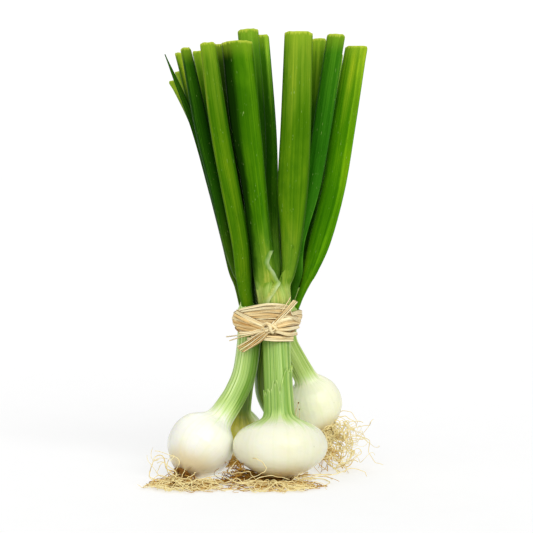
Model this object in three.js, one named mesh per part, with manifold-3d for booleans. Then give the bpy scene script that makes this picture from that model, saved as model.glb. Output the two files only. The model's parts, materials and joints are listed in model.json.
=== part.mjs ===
// A bunch of five white spring onions, tied round the necks with raffia.
// The bunch stands on its bulbs and roots. Millimetres, +Z up, the camera side is -Y.

import * as THREE from 'three';
import { mergeVertices } from 'three/addons/utils/BufferGeometryUtils.js';
import Module from 'manifold-3d';

const wasm = await Module();
wasm.setup();

// Driving dimensions

const NECK_TOP = 104;
const LEAF_BASE = 104.4;
const LEAF_WALL = 0.8;
const LEAF_SIDES = 12;
const LEAF_RINGS = 9;
const BULB_SIDES = 20;
const CLEARANCE = 0.35;
const PLATE_THICKNESS = 2.1;
const ROOT_RADIUS = 0.5;
const ROOT_STEPS = 6;
const ROOT_SIDES = 3;
const TIE_BOTTOM = 75;
const TIE_TOP = 95.5;
const TIE_THICKNESS = 1.2;
const TIE_GAP = 0.9;
const RAFFIA_WIDTH = 2.6;
const RAFFIA_THICKNESS = 1;
const SEED = 41;

// Each onion: bulb radius and height, neck radius at the tie and at its top,
// and the points that its axis runs through, from the root end upwards.

const ONIONS = [
  {
    name: 'front', bulbRadius: 26, bulbHeight: 32.5, neckRadius: 7.7, topRadius: 9.2,
    axis: [[7.4, -26.8, 2.4], [7.4, -26.8, 15.5], [7.2, -24.3, 32], [6.7, -20.5, 45], [6.1, -15, 60],
      [5.6, -10.6, 72], [5.2, -9, 83], [4.4, -9.2, 95], [4, -9.5, NECK_TOP]],
    strands: 15, reach: 30, fall: 0.2,
  },
  {
    name: 'left', bulbRadius: 18.4, bulbHeight: 37, neckRadius: 6.6, topRadius: 5.4,
    axis: [[-45.3, -28.6, 4.6], [-37.3, -20, 17.1], [-29.4, -16.2, 27.8], [-21.5, -12.6, 38.7],
      [-16.4, -9.8, 47], [-12.3, -7, 57], [-10.2, -4.8, 71], [-9.8, -4, 83], [-11.2, -4.2, 95],
      [-13, -4.5, NECK_TOP]],
    strands: 15, reach: 26, fall: 0.3,
  },
  {
    name: 'right', bulbRadius: 16, bulbHeight: 33, neckRadius: 5.8, topRadius: 5.4,
    axis: [[32.5, 17.4, 20.5], [27.6, 16, 35.5], [23.2, 14, 49.4], [17.5, 9.5, 61], [11.7, 4.6, 73],
      [11.4, 4, 83], [13.6, 4, 95], [17.2, 3.8, NECK_TOP]],
    strands: 18, reach: 28, fall: 0.75,
  },
  {
    name: 'back_left', bulbRadius: 16.5, bulbHeight: 31, neckRadius: 6, topRadius: 5.8,
    axis: [[-18.6, 26.6, 2.4], [-18.6, 26.6, 15.5], [-16, 22, 31], [-13.8, 16.8, 46], [-11, 12, 62],
      [-8.9, 9.6, 76], [-8.6, 9.2, 83], [-8.6, 9.4, 95], [-8.9, 9.6, NECK_TOP]],
    strands: 10, reach: 21, fall: 0.2,
  },
  {
    name: 'back', bulbRadius: 15, bulbHeight: 30, neckRadius: 5.5, topRadius: 5.3,
    axis: [[23, 45.5, 5.1], [14.5, 42, 15.6], [6.2, 36, 27.5], [0, 29.5, 39], [-1.2, 22.5, 52],
      [0.6, 16.5, 66], [2.6, 13, 78], [2.8, 12.6, 84], [2.9, 12.8, 95], [3, 13, NECK_TOP]],
    strands: 10, reach: 19, fall: 0.3,
  },
];

// Bulb outline: height as a share of the bulb height, then the radius as a share
// of the bulb radius and a share of the neck radius, which are added.

const BULB_OUTLINE = [
  [0, 0.26, 0], [0.04, 0.42, 0], [0.1, 0.565, 0], [0.18, 0.72, 0], [0.27, 0.865, 0],
  [0.37, 0.96, 0], [0.49, 1, 0], [0.6, 0.985, 0], [0.7, 0.925, 0], [0.78, 0.845, 0],
  [0.85, 0.7, 0.05], [0.91, 0.47, 0.3], [0.96, 0.24, 0.62], [1.03, 0.07, 0.93],
  [1.14, 0.02, 1], [1.4, 0, 1],
];
const NECK_RINGS = 6;

// Each leaf: height of its top, depth front to back at base and top, twist at the top
// in degrees, slope of the cut, then [x, y, width] at the heights below and at the top.

const LEAF_HEIGHTS = [LEAF_BASE, 113, 130, 160, 195];

const LEAVES = [
  { name: 'front_leaf_wide_left', top: 240.5, depth: [5, 7], twist: 3, slope: 0.05,
    path: [[-0.2, -11.5, 10.2], [-1, -11.5, 12.2], [-3.1, -11.7, 11.8], [-6.8, -13, 13.2],
      [-11.6, -15.5, 16], [-16.2, -18, 16]] },
  { name: 'front_leaf_wide_right', top: 245.5, depth: [5, 6.4], twist: -4, slope: -0.03,
    path: [[9.4, -9.5, 7.2], [12, -9.8, 8], [13.9, -10.5, 11.2], [14.6, -13, 16.3],
      [15.9, -16.5, 16.4], [17.4, -20, 15]] },
  { name: 'front_leaf_narrow', top: 246, depth: [4.2, 5], twist: 15, slope: 0.04,
    path: [[4.2, -4.2, 6.2], [5, -3.4, 7], [3.4, -0.5, 7.6], [1.9, 4, 8], [1, 6, 8.2], [-2.7, 8, 8]] },
  { name: 'left_leaf_front', top: 239.4, depth: [3.2, 5.2], twist: 8, slope: 0.06,
    path: [[-12.2, -7.6, 7.6], [-12.9, -8.6, 8.8], [-14.6, -11, 9.6], [-20, -14, 10.4],
      [-26.2, -18, 10.5], [-32.1, -22, 8.6]] },
  { name: 'left_leaf_outer', top: 237.5, depth: [3.2, 4.2], twist: 12, slope: 0.05,
    path: [[-13, -2.2, 4.4], [-16.8, -3.4, 5], [-21.6, -4.5, 6.6], [-27.8, -6.5, 8],
      [-35.9, -8.5, 8.4], [-44.6, -10, 5.6]] },
  { name: 'left_leaf_inner', top: 248, depth: [3.4, 6.4], twist: -8, slope: 0.08,
    path: [[-8.7, -2.6, 4.2], [-7.8, -1.6, 5], [-6, -1.5, 7.2], [-4.4, -2.5, 9.6],
      [-6.2, -3.8, 11], [-10.4, -5, 11.3]] },
  { name: 'left_leaf_pointed', top: 234.6, depth: [2.4, 1.4], twist: 20, pointed: true,
    path: [[-16.6, -1, 2.6], [-19.8, 0.8, 3], [-23.6, 1.8, 3.6], [-31, 3, 4.2],
      [-40.6, 2.4, 4.6], [-56.7, 1.5, 1.2]] },
  { name: 'back_left_leaf_inner', top: 237, depth: [3.4, 4.6], twist: -25, slope: 0.05,
    path: [[-11.6, 7, 4.2], [-13.4, 6.2, 5], [-17.2, 5.4, 6], [-22.5, 5.5, 7],
      [-30.3, 7, 7.6], [-38.3, 10, 7.6]] },
  { name: 'back_left_leaf_middle', top: 235.7, depth: [3, 4], twist: 25, slope: -0.06,
    path: [[-13, 11, 3.2], [-16, 10.4, 4.2], [-21, 9.4, 5], [-29, 8.4, 5.6],
      [-38.5, 7.4, 6], [-48.7, 6, 5.6]] },
  { name: 'back_left_leaf_outer', top: 220.4, depth: [3, 3.6], twist: -30, slope: 0.1,
    path: [[-9.6, 13.4, 3.6], [-12.8, 13.8, 4], [-18.8, 13.8, 4.6], [-28.5, 13.8, 5.4],
      [-40.5, 14, 5.6], [-53, 14, 5]] },
  { name: 'back_left_leaf_rear', top: 226.3, depth: [3, 3.8], twist: -40, slope: 0.05,
    path: [[-5.8, 12.2, 3.4], [-8.2, 15, 4], [-14.5, 18.4, 4.8], [-25, 20.5, 5.6],
      [-37.5, 22.4, 6], [-50, 24, 5.4]] },
  { name: 'back_leaf_left', top: 241, depth: [4, 5], twist: -15, slope: 0.04,
    path: [[0.2, 11.6, 4.2], [-1.4, 11.2, 5], [-5.2, 10.8, 6.8], [-12.5, 10.5, 8],
      [-19.5, 11, 8.6], [-27, 12, 8.6]] },
  { name: 'back_leaf_middle', top: 243, depth: [3.4, 6], twist: -20, slope: 0.03,
    path: [[3.4, 16.2, 4.2], [2.8, 17.2, 5], [1.2, 19, 7], [-2, 22, 9], [-5, 25.5, 10.4],
      [-8, 28, 10]] },
  { name: 'back_leaf_right', top: 242, depth: [3.6, 6], twist: 15, slope: -0.05,
    path: [[6, 11.4, 4.2], [6.8, 12, 5], [8.6, 14, 7], [11.5, 18.5, 9], [13.6, 23, 10],
      [16, 28, 10]] },
  { name: 'right_leaf_inner', top: 245, depth: [3.8, 5.8], twist: -6, slope: -0.06,
    path: [[15.4, 0.8, 5.4], [17.2, 0, 6.2], [17.8, -1.2, 7.6], [25.2, -4, 9.6],
      [31, -6.5, 10.8], [38.4, -8, 10.6]] },
  { name: 'right_leaf_rear', top: 244, depth: [3.6, 5.4], twist: 20, slope: 0.04,
    path: [[14.6, 6.2, 4.6], [16, 6.6, 5.4], [18.2, 7.4, 6.6], [22.6, 8.2, 8], [27, 9, 9],
      [29.4, 10, 9]] },
  { name: 'right_leaf_outer', top: 239.5, depth: [4.8, 6.4], twist: -8, slope: -0.02,
    path: [[21, 2.8, 4.8], [24.6, 3.2, 8.2], [30.2, 4, 12.8], [37.8, 4.5, 13.6],
      [43.4, 5, 14], [50.6, 6, 12.8]] },
  { name: 'right_leaf_back', top: 236, depth: [3, 5.2], twist: 35, slope: 0.06,
    path: [[18.8, 7.6, 3.4], [20.4, 9.4, 4.4], [24, 12.6, 6.4], [29.5, 16, 8], [34.5, 20, 8.6],
      [40, 24, 8]] },
];
const HOLLOW_STEPS = [1, 0.96, 0.82, 0.62, 0.42];
const SECTION_POWER = 0.88;

// Materials

function surface(color, roughness) {
  return new THREE.MeshStandardMaterial({ color, roughness, metalness: 0 });
}

const bulbSkin = surface(0xe9ead2, 0.35);
const rootFibre = surface(0xc9ad7c, 0.8);
const leafGreen = surface(0x3f7d14, 0.45);
const leafDark = surface(0x235c10, 0.45);
const raffia = surface(0xd9bd8c, 0.75);

// Shapes

const vector = ([x, y, z]) => new THREE.Vector3(x, y, z);
const curve = (points) => new THREE.CatmullRomCurve3(points, false, 'catmullrom', 0.5);

// A repeatable sequence of draws from 0 to 1
function draws(seed) {
  let state = seed;
  return () => {
    state = (state * 1664525 + 1013904223) % 4294967296;
    return state / 4294967296;
  };
}

// A closed skin through rings of points, with a fan over each end
function skin(rings) {
  const sides = rings[0].length;
  const positions = [];
  const index = [];
  rings.forEach((ring) => ring.forEach((p) => positions.push(p.x, p.y, p.z)));
  for (let i = 0; i + 1 < rings.length; i += 1) {
    for (let j = 0; j < sides; j += 1) {
      const a = i * sides + j;
      const b = i * sides + (j + 1) % sides;
      index.push(a, b, b + sides, a, b + sides, a + sides);
    }
  }
  [0, rings.length - 1].forEach((end) => {
    const middle = new THREE.Vector3();
    rings[end].forEach((p) => middle.addScaledVector(p, 1 / sides));
    const centre = positions.length / 3;
    positions.push(middle.x, middle.y, middle.z);
    for (let j = 0; j < sides; j += 1) {
      const a = end * sides + j;
      const b = end * sides + (j + 1) % sides;
      index.push(centre, end ? a : b, end ? b : a);
    }
  });
  const geometry = new THREE.BufferGeometry();
  geometry.setAttribute('position', new THREE.Float32BufferAttribute(positions, 3));
  geometry.setIndex(index);
  geometry.computeVertexNormals();
  return geometry;
}

// A round ring of points square to a direction
function circle(centre, direction, radius, sides, first = 0) {
  const across = new THREE.Vector3(0, 1, 0).cross(direction).normalize();
  const up = direction.clone().cross(across).normalize();
  return Array.from({ length: sides }, (_, j) => {
    const angle = first + (2 * Math.PI * j) / sides;
    return centre.clone()
      .addScaledVector(across, radius * Math.cos(angle))
      .addScaledVector(up, radius * Math.sin(angle));
  });
}

function toSolid(geometry) {
  const bare = geometry.clone();
  bare.deleteAttribute('normal');
  bare.deleteAttribute('uv');
  const merged = mergeVertices(bare, 1e-4);
  return new wasm.Manifold(new wasm.Mesh({
    numProp: 3,
    vertProperties: new Float32Array(merged.attributes.position.array),
    triVerts: new Uint32Array(merged.index.array),
  }));
}

function toGeometry(solid) {
  const mesh = solid.getMesh();
  const geometry = new THREE.BufferGeometry();
  geometry.setAttribute('position', new THREE.Float32BufferAttribute(mesh.vertProperties, 3));
  geometry.setIndex(Array.from(mesh.triVerts));
  geometry.computeVertexNormals();
  return geometry;
}

// Bulb and neck

const axisOf = (onion) => curve(onion.axis.map(vector));

function neckRadiusAt(onion, z) {
  const rise = THREE.MathUtils.smoothstep(z, TIE_BOTTOM + 10, NECK_TOP);
  return onion.neckRadius + (onion.topRadius - onion.neckRadius) * rise;
}

function bulbGeometry(onion) {
  const axis = axisOf(onion);
  const length = axis.getLength();
  const stations = BULB_OUTLINE.map(([share, ofBulb, ofNeck]) => [
    share * onion.bulbHeight, ofBulb * onion.bulbRadius, ofNeck]);
  const neckStart = stations.at(-1)[0];
  for (let i = 1; i <= NECK_RINGS; i += 1) {
    stations.push([neckStart + ((length - neckStart) * i) / NECK_RINGS, 0, 1]);
  }
  const rings = stations.map(([along, fixed, ofNeck], i) => {
    const share = Math.min(along / length, 1);
    const centre = axis.getPointAt(share);
    const last = i === stations.length - 1;
    const direction = last ? new THREE.Vector3(0, 0, 1) : axis.getTangentAt(share);
    const radius = fixed + ofNeck * neckRadiusAt(onion, centre.z);
    return circle(centre, direction, radius, BULB_SIDES);
  });
  rings.flat().forEach((p) => {
    p.z = Math.max(p.z, 0);
  });
  return skin(rings);
}

// Roots

function plateGeometry(onion) {
  const axis = axisOf(onion);
  const start = axis.getPointAt(0);
  const direction = axis.getTangentAt(0);
  const radius = onion.bulbRadius * 0.3;
  const outline = [[-PLATE_THICKNESS - CLEARANCE, 0.82], [-PLATE_THICKNESS * 0.6, 1], [-CLEARANCE, 0.92]];
  const floor = start.z < 3;
  return skin(outline.map(([along, share]) => {
    const centre = start.clone().addScaledVector(direction, along);
    const ring = circle(centre, direction, radius * share, 12);
    ring.forEach((p) => {
      p.z = Math.max(p.z, floor && along < -PLATE_THICKNESS ? 0 : 0.05);
    });
    return ring;
  }));
}

// One root: out of the plate, down to the ground and outwards in a loose wave
function strandGeometry(onion, turn, draw, extra) {
  const axis = axisOf(onion);
  const [radial] = circle(new THREE.Vector3(), axis.getTangentAt(0), 1, 1, turn);
  const start = axis.getPointAt(0)
    .addScaledVector(axis.getTangentAt(0), -PLATE_THICKNESS * 0.6)
    .addScaledVector(radial, onion.bulbRadius * 0.2);
  const reach = onion.reach * (0.5 + 0.5 * draw());
  const wave = 3.2 * (draw() - 0.5);
  const phase = 6 * draw();
  const lift = 5 * draw() * draw();
  const bend = 0.9 * (draw() - 0.5);
  const thickness = (s) => ROOT_RADIUS * (1.1 - 0.5 * s);
  const points = Array.from({ length: ROOT_STEPS + 1 }, (_, i) => {
    const s = i / ROOT_STEPS;
    const angle = turn + bend * s;
    const side = wave * Math.sin(phase + 5 * s) * s;
    const drop = Math.max(0, 1 - s / onion.fall) ** 1.6;
    const ground = thickness(s) * 0.9;
    return new THREE.Vector3(
      start.x + reach * s * Math.cos(angle) - side * Math.sin(angle),
      start.y + reach * s * Math.sin(angle) + side * Math.cos(angle),
      ground + Math.max(0, start.z - ground) * drop + lift * Math.max(0, s - 0.55) * 2.2,
    );
  });
  const line = curve(points);
  const rings = points.map((point, i) => {
    const s = i / ROOT_STEPS;
    return circle(point, line.getTangent(s), thickness(s) + extra, ROOT_SIDES);
  });
  rings.flat().forEach((p) => {
    p.z = Math.max(p.z, 0);
  });
  return skin(rings);
}

// All the roots of one onion that pass clear of the keep-out solids, in one body
function rootsSolid(onion, keepOut, seed) {
  const draw = draws(seed);
  let tuft = toSolid(plateGeometry(onion));
  for (let k = 0; k < onion.strands; k += 1) {
    const turn = (2 * Math.PI * (k + 0.6 * draw())) / onion.strands;
    const ownSeed = Math.floor(draw() * 1e6);
    const wide = toSolid(strandGeometry(onion, turn, draws(ownSeed), CLEARANCE));
    const clear = keepOut.every((solid) => solid.intersect(wide).isEmpty());
    if (clear) {
      tuft = tuft.add(toSolid(strandGeometry(onion, turn, draws(ownSeed), 0)));
    }
  }
  return tuft;
}

// Leaves

// A flattened ring, level apart from the slope of the cut
function leafRing(leaf, lines, share, wall) {
  const centre = lines.place.getPoint(share);
  const size = lines.size.getPoint(share);
  const twist = THREE.MathUtils.degToRad(leaf.twist * share);
  const slope = share > 0.999 && !leaf.pointed ? leaf.slope : 0;
  return Array.from({ length: LEAF_SIDES }, (_, j) => {
    const angle = (2 * Math.PI * j) / LEAF_SIDES;
    const round = (value) => Math.sign(value) * Math.abs(value) ** SECTION_POWER;
    const across = (size.x / 2 - wall) * round(Math.cos(angle));
    const back = (size.y / 2 - wall) * round(Math.sin(angle));
    const x = across * Math.cos(twist) - back * Math.sin(twist);
    const y = across * Math.sin(twist) + back * Math.cos(twist);
    return new THREE.Vector3(centre.x + x, centre.y + y, centre.z + slope * across);
  });
}

function leafGeometry(leaf) {
  const heights = [...LEAF_HEIGHTS, leaf.top];
  const last = heights.length - 1;
  const depthAt = (i) => THREE.MathUtils.lerp(leaf.depth[0], leaf.depth[1], i / last);
  const lines = {
    place: curve(leaf.path.map(([x, y], i) => new THREE.Vector3(x, y, heights[i]))),
    size: curve(leaf.path.map(([, , width], i) => new THREE.Vector3(width, depthAt(i), 0))),
  };
  const outside = Array.from({ length: LEAF_RINGS + 1 }, (_, i) => leafRing(leaf, lines, i / LEAF_RINGS, 0));
  const inside = leaf.pointed ? [] : HOLLOW_STEPS.map((share) => leafRing(leaf, lines, share, LEAF_WALL));
  return skin([...outside, ...inside]);
}

// Raffia tie

// Where a tight band passes round the necks: the point at one angle and height,
// a given distance off the neck that reaches furthest that way
function bandPoint(angle, z, off) {
  const out = new THREE.Vector3(Math.cos(angle), Math.sin(angle), 0);
  let best = null;
  let furthest = -Infinity;
  necks.forEach(({ onion, places }) => {
    const { centre, slant } = places(z);
    const radius = neckRadiusAt(onion, z) * slant;
    const far = centre.dot(out) + radius;
    if (far > furthest) {
      furthest = far;
      best = centre.clone().setZ(z).addScaledVector(out, radius + TIE_GAP + off);
    }
  });
  return best;
}

// Neck centre by height, from the axis points in and near the band
const necks = ONIONS.map((onion) => {
  const samples = axisOf(onion).getPoints(90);
  const places = (z) => {
    const above = samples.findIndex((p) => p.z >= z);
    const low = samples[above - 1];
    const high = samples[above];
    const rise = high.z - low.z;
    return {
      centre: low.clone().lerp(high, (z - low.z) / rise).setZ(0),
      slant: low.distanceTo(high) / rise,
    };
  };
  return { onion, places };
});

const BAND_STEPS = 42;
const BAND_ROWS = 7;

function bandSolid() {
  const rings = [];
  for (let i = 0; i < BAND_STEPS; i += 1) {
    const angle = (2 * Math.PI * i) / BAND_STEPS - Math.PI / 2;
    const lift = 0.8 * Math.cos(angle + Math.PI / 2) + 0.5 * Math.sin(3 * angle);
    const zAt = (row) => THREE.MathUtils.lerp(TIE_BOTTOM, TIE_TOP, row / (BAND_ROWS - 1)) + lift;
    const section = [];
    for (let row = 0; row < BAND_ROWS; row += 1) {
      const ridge = 0.55 * (row % 2) + 0.25 * Math.sin(2 * angle + 1.7 * row);
      const edge = row === 0 || row === BAND_ROWS - 1 ? -0.5 : 0;
      section.push(bandPoint(angle, zAt(row), TIE_THICKNESS + ridge + edge));
    }
    for (let row = BAND_ROWS - 1; row >= 0; row -= 2) {
      section.push(bandPoint(angle, zAt(row), 0));
    }
    rings.push(section);
  }
  const sides = rings[0].length;
  const positions = rings.flat().flatMap((p) => [p.x, p.y, p.z]);
  const index = [];
  for (let i = 0; i < BAND_STEPS; i += 1) {
    const next = (i + 1) % BAND_STEPS;
    for (let j = 0; j < sides; j += 1) {
      const k = (j + 1) % sides;
      index.push(i * sides + j, next * sides + k, i * sides + k);
      index.push(i * sides + j, next * sides + j, next * sides + k);
    }
  }
  const geometry = new THREE.BufferGeometry();
  geometry.setAttribute('position', new THREE.Float32BufferAttribute(positions, 3));
  geometry.setIndex(index);
  return toSolid(geometry);
}

// A flat strand through [x, z, lift off the band] points on the front, or past its ends
function strandOnFront(points, width, thickness) {
  const line = curve(points.map(([x, z, off]) => {
    let nearest = null;
    for (let angle = -Math.PI; angle <= 0; angle += 0.01) {
      const place = bandPoint(angle, THREE.MathUtils.clamp(z, TIE_BOTTOM, TIE_TOP), TIE_THICKNESS + off);
      if (!nearest || Math.abs(place.x - x) < Math.abs(nearest.x - x)) {
        nearest = place;
      }
    }
    return new THREE.Vector3(x, nearest.y, z);
  }));
  const steps = 7;
  return toSolid(skin(Array.from({ length: steps + 1 }, (_, i) => {
    const centre = line.getPoint(i / steps);
    const along = line.getTangent(i / steps);
    const outwards = new THREE.Vector3(centre.x * 0.02, -1, 0).normalize();
    const side = along.clone().cross(outwards).normalize();
    const corner = (a, b) => centre.clone()
      .addScaledVector(side, (a * width) / 2)
      .addScaledVector(outwards, (b * thickness) / 2);
    return [corner(1, 0.5), corner(1, -0.9), corner(-1, -0.9), corner(-1, 0.5), corner(0, 1)];
  })));
}

const KNOT = [1.7, 83.4];

// Strands over the front of the band: [points, width, thickness]
const FRONT_STRANDS = [
  [[[-18.6, 90, 0], [-13, 87.6, 0.6], [-6, 84.6, 1], KNOT.concat(1.6)], 3, 1.3],
  [[[-17.6, 84, 0], [-11, 85, 0.6], [-4, 82.6, 1.2], KNOT.concat(1.8)], 2.6, 1.2],
  [[[-16.6, 78, 0], [-9, 81, 0.8], [-3, 86, 1], [4, 90.5, 0.6], [12, 92, 0]], 2.6, 1.1],
  [[KNOT.concat(1.6), [6, 85.6, 1.2], [11, 86.4, 1.4], [16.6, 84, 0.4]], 4.4, 2],
  [[KNOT.concat(1.4), [7, 82.4, 1], [12, 80.6, 0.8], [16, 78.4, 0]], 3, 1.4],
  [[[-1.6, 82, 2.4], KNOT.concat(2.6), [4.8, 86, 2.4]], 6, 3],
  [[[3, 84.6, 2], [7.6, 89, 1.8], [12, 94, 1.6], [16.2, 98.4, 1.6]], 2.4, RAFFIA_THICKNESS],
  [[[0.4, 82.4, 2.2], [-5, 79, 2], [-10, 75.4, 1.8], [-15.4, 71, 1.6]], 4, 1.4],
  [[[-2, 81.4, 1.8], [-10, 79.4, 1.8], [-16, 78.4, 2], [-20.6, 77.6, 2.2]], RAFFIA_WIDTH * 0.6, 0.9],
];

function tieSolid() {
  return FRONT_STRANDS.reduce(
    (tie, [points, width, thickness]) => tie.add(strandOnFront(points, width, thickness)),
    bandSolid(),
  );
}

// The bunch

const bunch = new THREE.Group();

function addPiece(name, geometry, material) {
  const mesh = new THREE.Mesh(geometry, material.clone());
  mesh.name = name;
  bunch.add(mesh);
}

const bulbs = ONIONS.map((onion) => {
  const geometry = bulbGeometry(onion);
  addPiece(`${onion.name}_bulb`, geometry, bulbSkin);
  return toSolid(geometry);
});

const keepOut = [...bulbs];
ONIONS.forEach((onion, i) => {
  const tuft = rootsSolid(onion, keepOut, SEED + i);
  keepOut.push(tuft);
  addPiece(`${onion.name}_roots`, toGeometry(tuft), rootFibre);
});

LEAVES.forEach((leaf) => {
  addPiece(leaf.name, leafGeometry(leaf), leaf.name.startsWith('back') ? leafDark : leafGreen);
});

addPiece('raffia_tie', toGeometry(tieSolid()), raffia);

// The origin lies on the ground, under the middle of the bunch
const box = new THREE.Box3().setFromObject(bunch);
const middle = box.getCenter(new THREE.Vector3());
bunch.position.set(-middle.x, -middle.y, -box.min.z);

export default bunch;
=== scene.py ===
"""A bunch of five spring onions tied with raffia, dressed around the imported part.

Lengths in the tables are millimetres, with the bunch's own origin under the tie;
SHIFT moves them into the part's frame. The camera stands on the -Y side.
"""

import json
import math

import bpy
import numpy as np
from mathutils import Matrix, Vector


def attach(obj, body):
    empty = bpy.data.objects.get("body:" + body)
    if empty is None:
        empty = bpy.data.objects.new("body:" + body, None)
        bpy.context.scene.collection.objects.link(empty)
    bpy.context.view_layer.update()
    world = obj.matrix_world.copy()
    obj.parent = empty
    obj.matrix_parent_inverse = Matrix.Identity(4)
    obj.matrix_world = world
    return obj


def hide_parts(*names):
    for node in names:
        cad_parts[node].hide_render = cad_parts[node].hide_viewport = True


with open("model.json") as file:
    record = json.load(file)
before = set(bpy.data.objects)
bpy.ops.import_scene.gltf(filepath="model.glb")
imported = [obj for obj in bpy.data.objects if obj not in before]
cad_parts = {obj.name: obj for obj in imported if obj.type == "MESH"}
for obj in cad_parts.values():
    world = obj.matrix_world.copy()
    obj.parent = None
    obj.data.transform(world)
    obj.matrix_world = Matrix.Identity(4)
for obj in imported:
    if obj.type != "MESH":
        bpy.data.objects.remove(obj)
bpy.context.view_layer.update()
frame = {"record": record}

MM = 0.001
TURN = 2 * math.pi
SEEDS = dict(roots=11, windings=31, torn=77, wound=100, strands=200, bulbs=300, leaves=500,
             sheath=820, overlap=840)
FRONT_ROOT_POINT = (7.4, -26.8)
REST = frame["record"]["mounts"][0]["pos_m"]
SHIFT = np.array([REST[0] / MM - FRONT_ROOT_POINT[0], REST[1] / MM - FRONT_ROOT_POINT[1], 0.0])

# Sizes shared by the whole bunch

NECK_TOP = 104.0
LEAF_BASE = 104.4
TIE_BOTTOM = 75.0
TIE_TOP = 95.5
TIE_GAP = 0.2
SECTION_POWER = 0.88
LEAF_WALL = 0.75
STUB_Z = 91.0

# Each onion: bulb radius and height, neck radius at the tie and at its top, how much its
# neck is painted darker on the right and lighter on the left as painted shade (its side
# shade; below zero, a painted highlight on the right instead), the shares of the bulb's
# height between which white turns into green (fade), and the points that its axis runs
# through, from the root end upwards

ONIONS = [
    dict(name="front", bulb=26.0, height=32.5, neck=7.7, top=9.2, side_shade=-0.3, fade=(0.72, 1.12),
         axis=[[7.4, -26.8, 2.4], [7.4, -26.8, 15.5], [7.2, -24.3, 32], [6.7, -20.5, 45],
               [6.1, -15, 60], [5.6, -10.6, 72], [5.2, -9, 83], [4.4, -9.2, 95],
               [4, -9.5, NECK_TOP]]),
    dict(name="left", bulb=18.4, height=37.0, neck=6.6, top=5.4, side_shade=0.7, fade=(0.76, 1.45),
         axis=[[-45.3, -28.6, 4.6], [-37.3, -20, 17.1], [-29.4, -16.2, 27.8],
               [-21.5, -12.6, 38.7], [-16.4, -9.8, 47], [-12.3, -7, 57], [-10.2, -4.8, 71],
               [-9.8, -4, 83], [-11.2, -4.2, 95], [-13, -4.5, NECK_TOP]]),
    dict(name="right", bulb=16.0, height=33.0, neck=5.8, top=5.4, fade=(0.80, 1.35),
         axis=[[32.5, 17.4, 20.5], [27.6, 16, 35.5], [23.2, 14, 49.4], [17.5, 9.5, 61],
               [11.7, 4.6, 73], [11.4, 4, 83], [13.6, 4, 95], [17.2, 3.8, NECK_TOP]]),
    dict(name="back_left", bulb=16.5, height=31.0, neck=6.0, top=5.8, sides=120,
         axis=[[-18.6, 26.6, 2.4], [-18.6, 26.6, 15.5], [-16, 22, 31], [-13.8, 16.8, 46],
               [-11, 12, 62], [-8.9, 9.6, 76], [-8.6, 9.2, 83], [-8.6, 9.4, 95],
               [-8.9, 9.6, NECK_TOP]]),
    dict(name="back", bulb=15.0, height=30.0, neck=5.5, top=5.3, sides=120,
         axis=[[23, 45.5, 5.1], [14.5, 42, 15.6], [6.2, 36, 27.5], [0, 29.5, 39],
               [-1.2, 22.5, 52], [0.6, 16.5, 66], [2.6, 13, 78], [2.8, 12.6, 84],
               [2.9, 12.8, 95], [3, 13, NECK_TOP]]),
]

# Bulb outline: height as a share of the bulb height, then the radius as a share of the
# bulb radius and a share of the neck radius, which are added

BULB_OUTLINE = [
    [0, 0.26, 0], [0.04, 0.42, 0], [0.1, 0.565, 0], [0.18, 0.72, 0], [0.27, 0.865, 0],
    [0.37, 0.96, 0], [0.49, 1, 0], [0.6, 0.985, 0], [0.7, 0.925, 0], [0.78, 0.845, 0],
    [0.85, 0.7, 0.05], [0.91, 0.47, 0.3], [0.96, 0.24, 0.62], [1.03, 0.07, 0.93],
    [1.14, 0.02, 1], [1.4, 0, 1],
]

# Each leaf: its name, which starts with its onion's, the height of its top, its depth at
# base and top, twist at the top in degrees, slope of the cut and look, then x, y and width at
# the five heights and at the top

LEAF_HEIGHTS = [LEAF_BASE, 113, 130, 160, 195]

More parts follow.
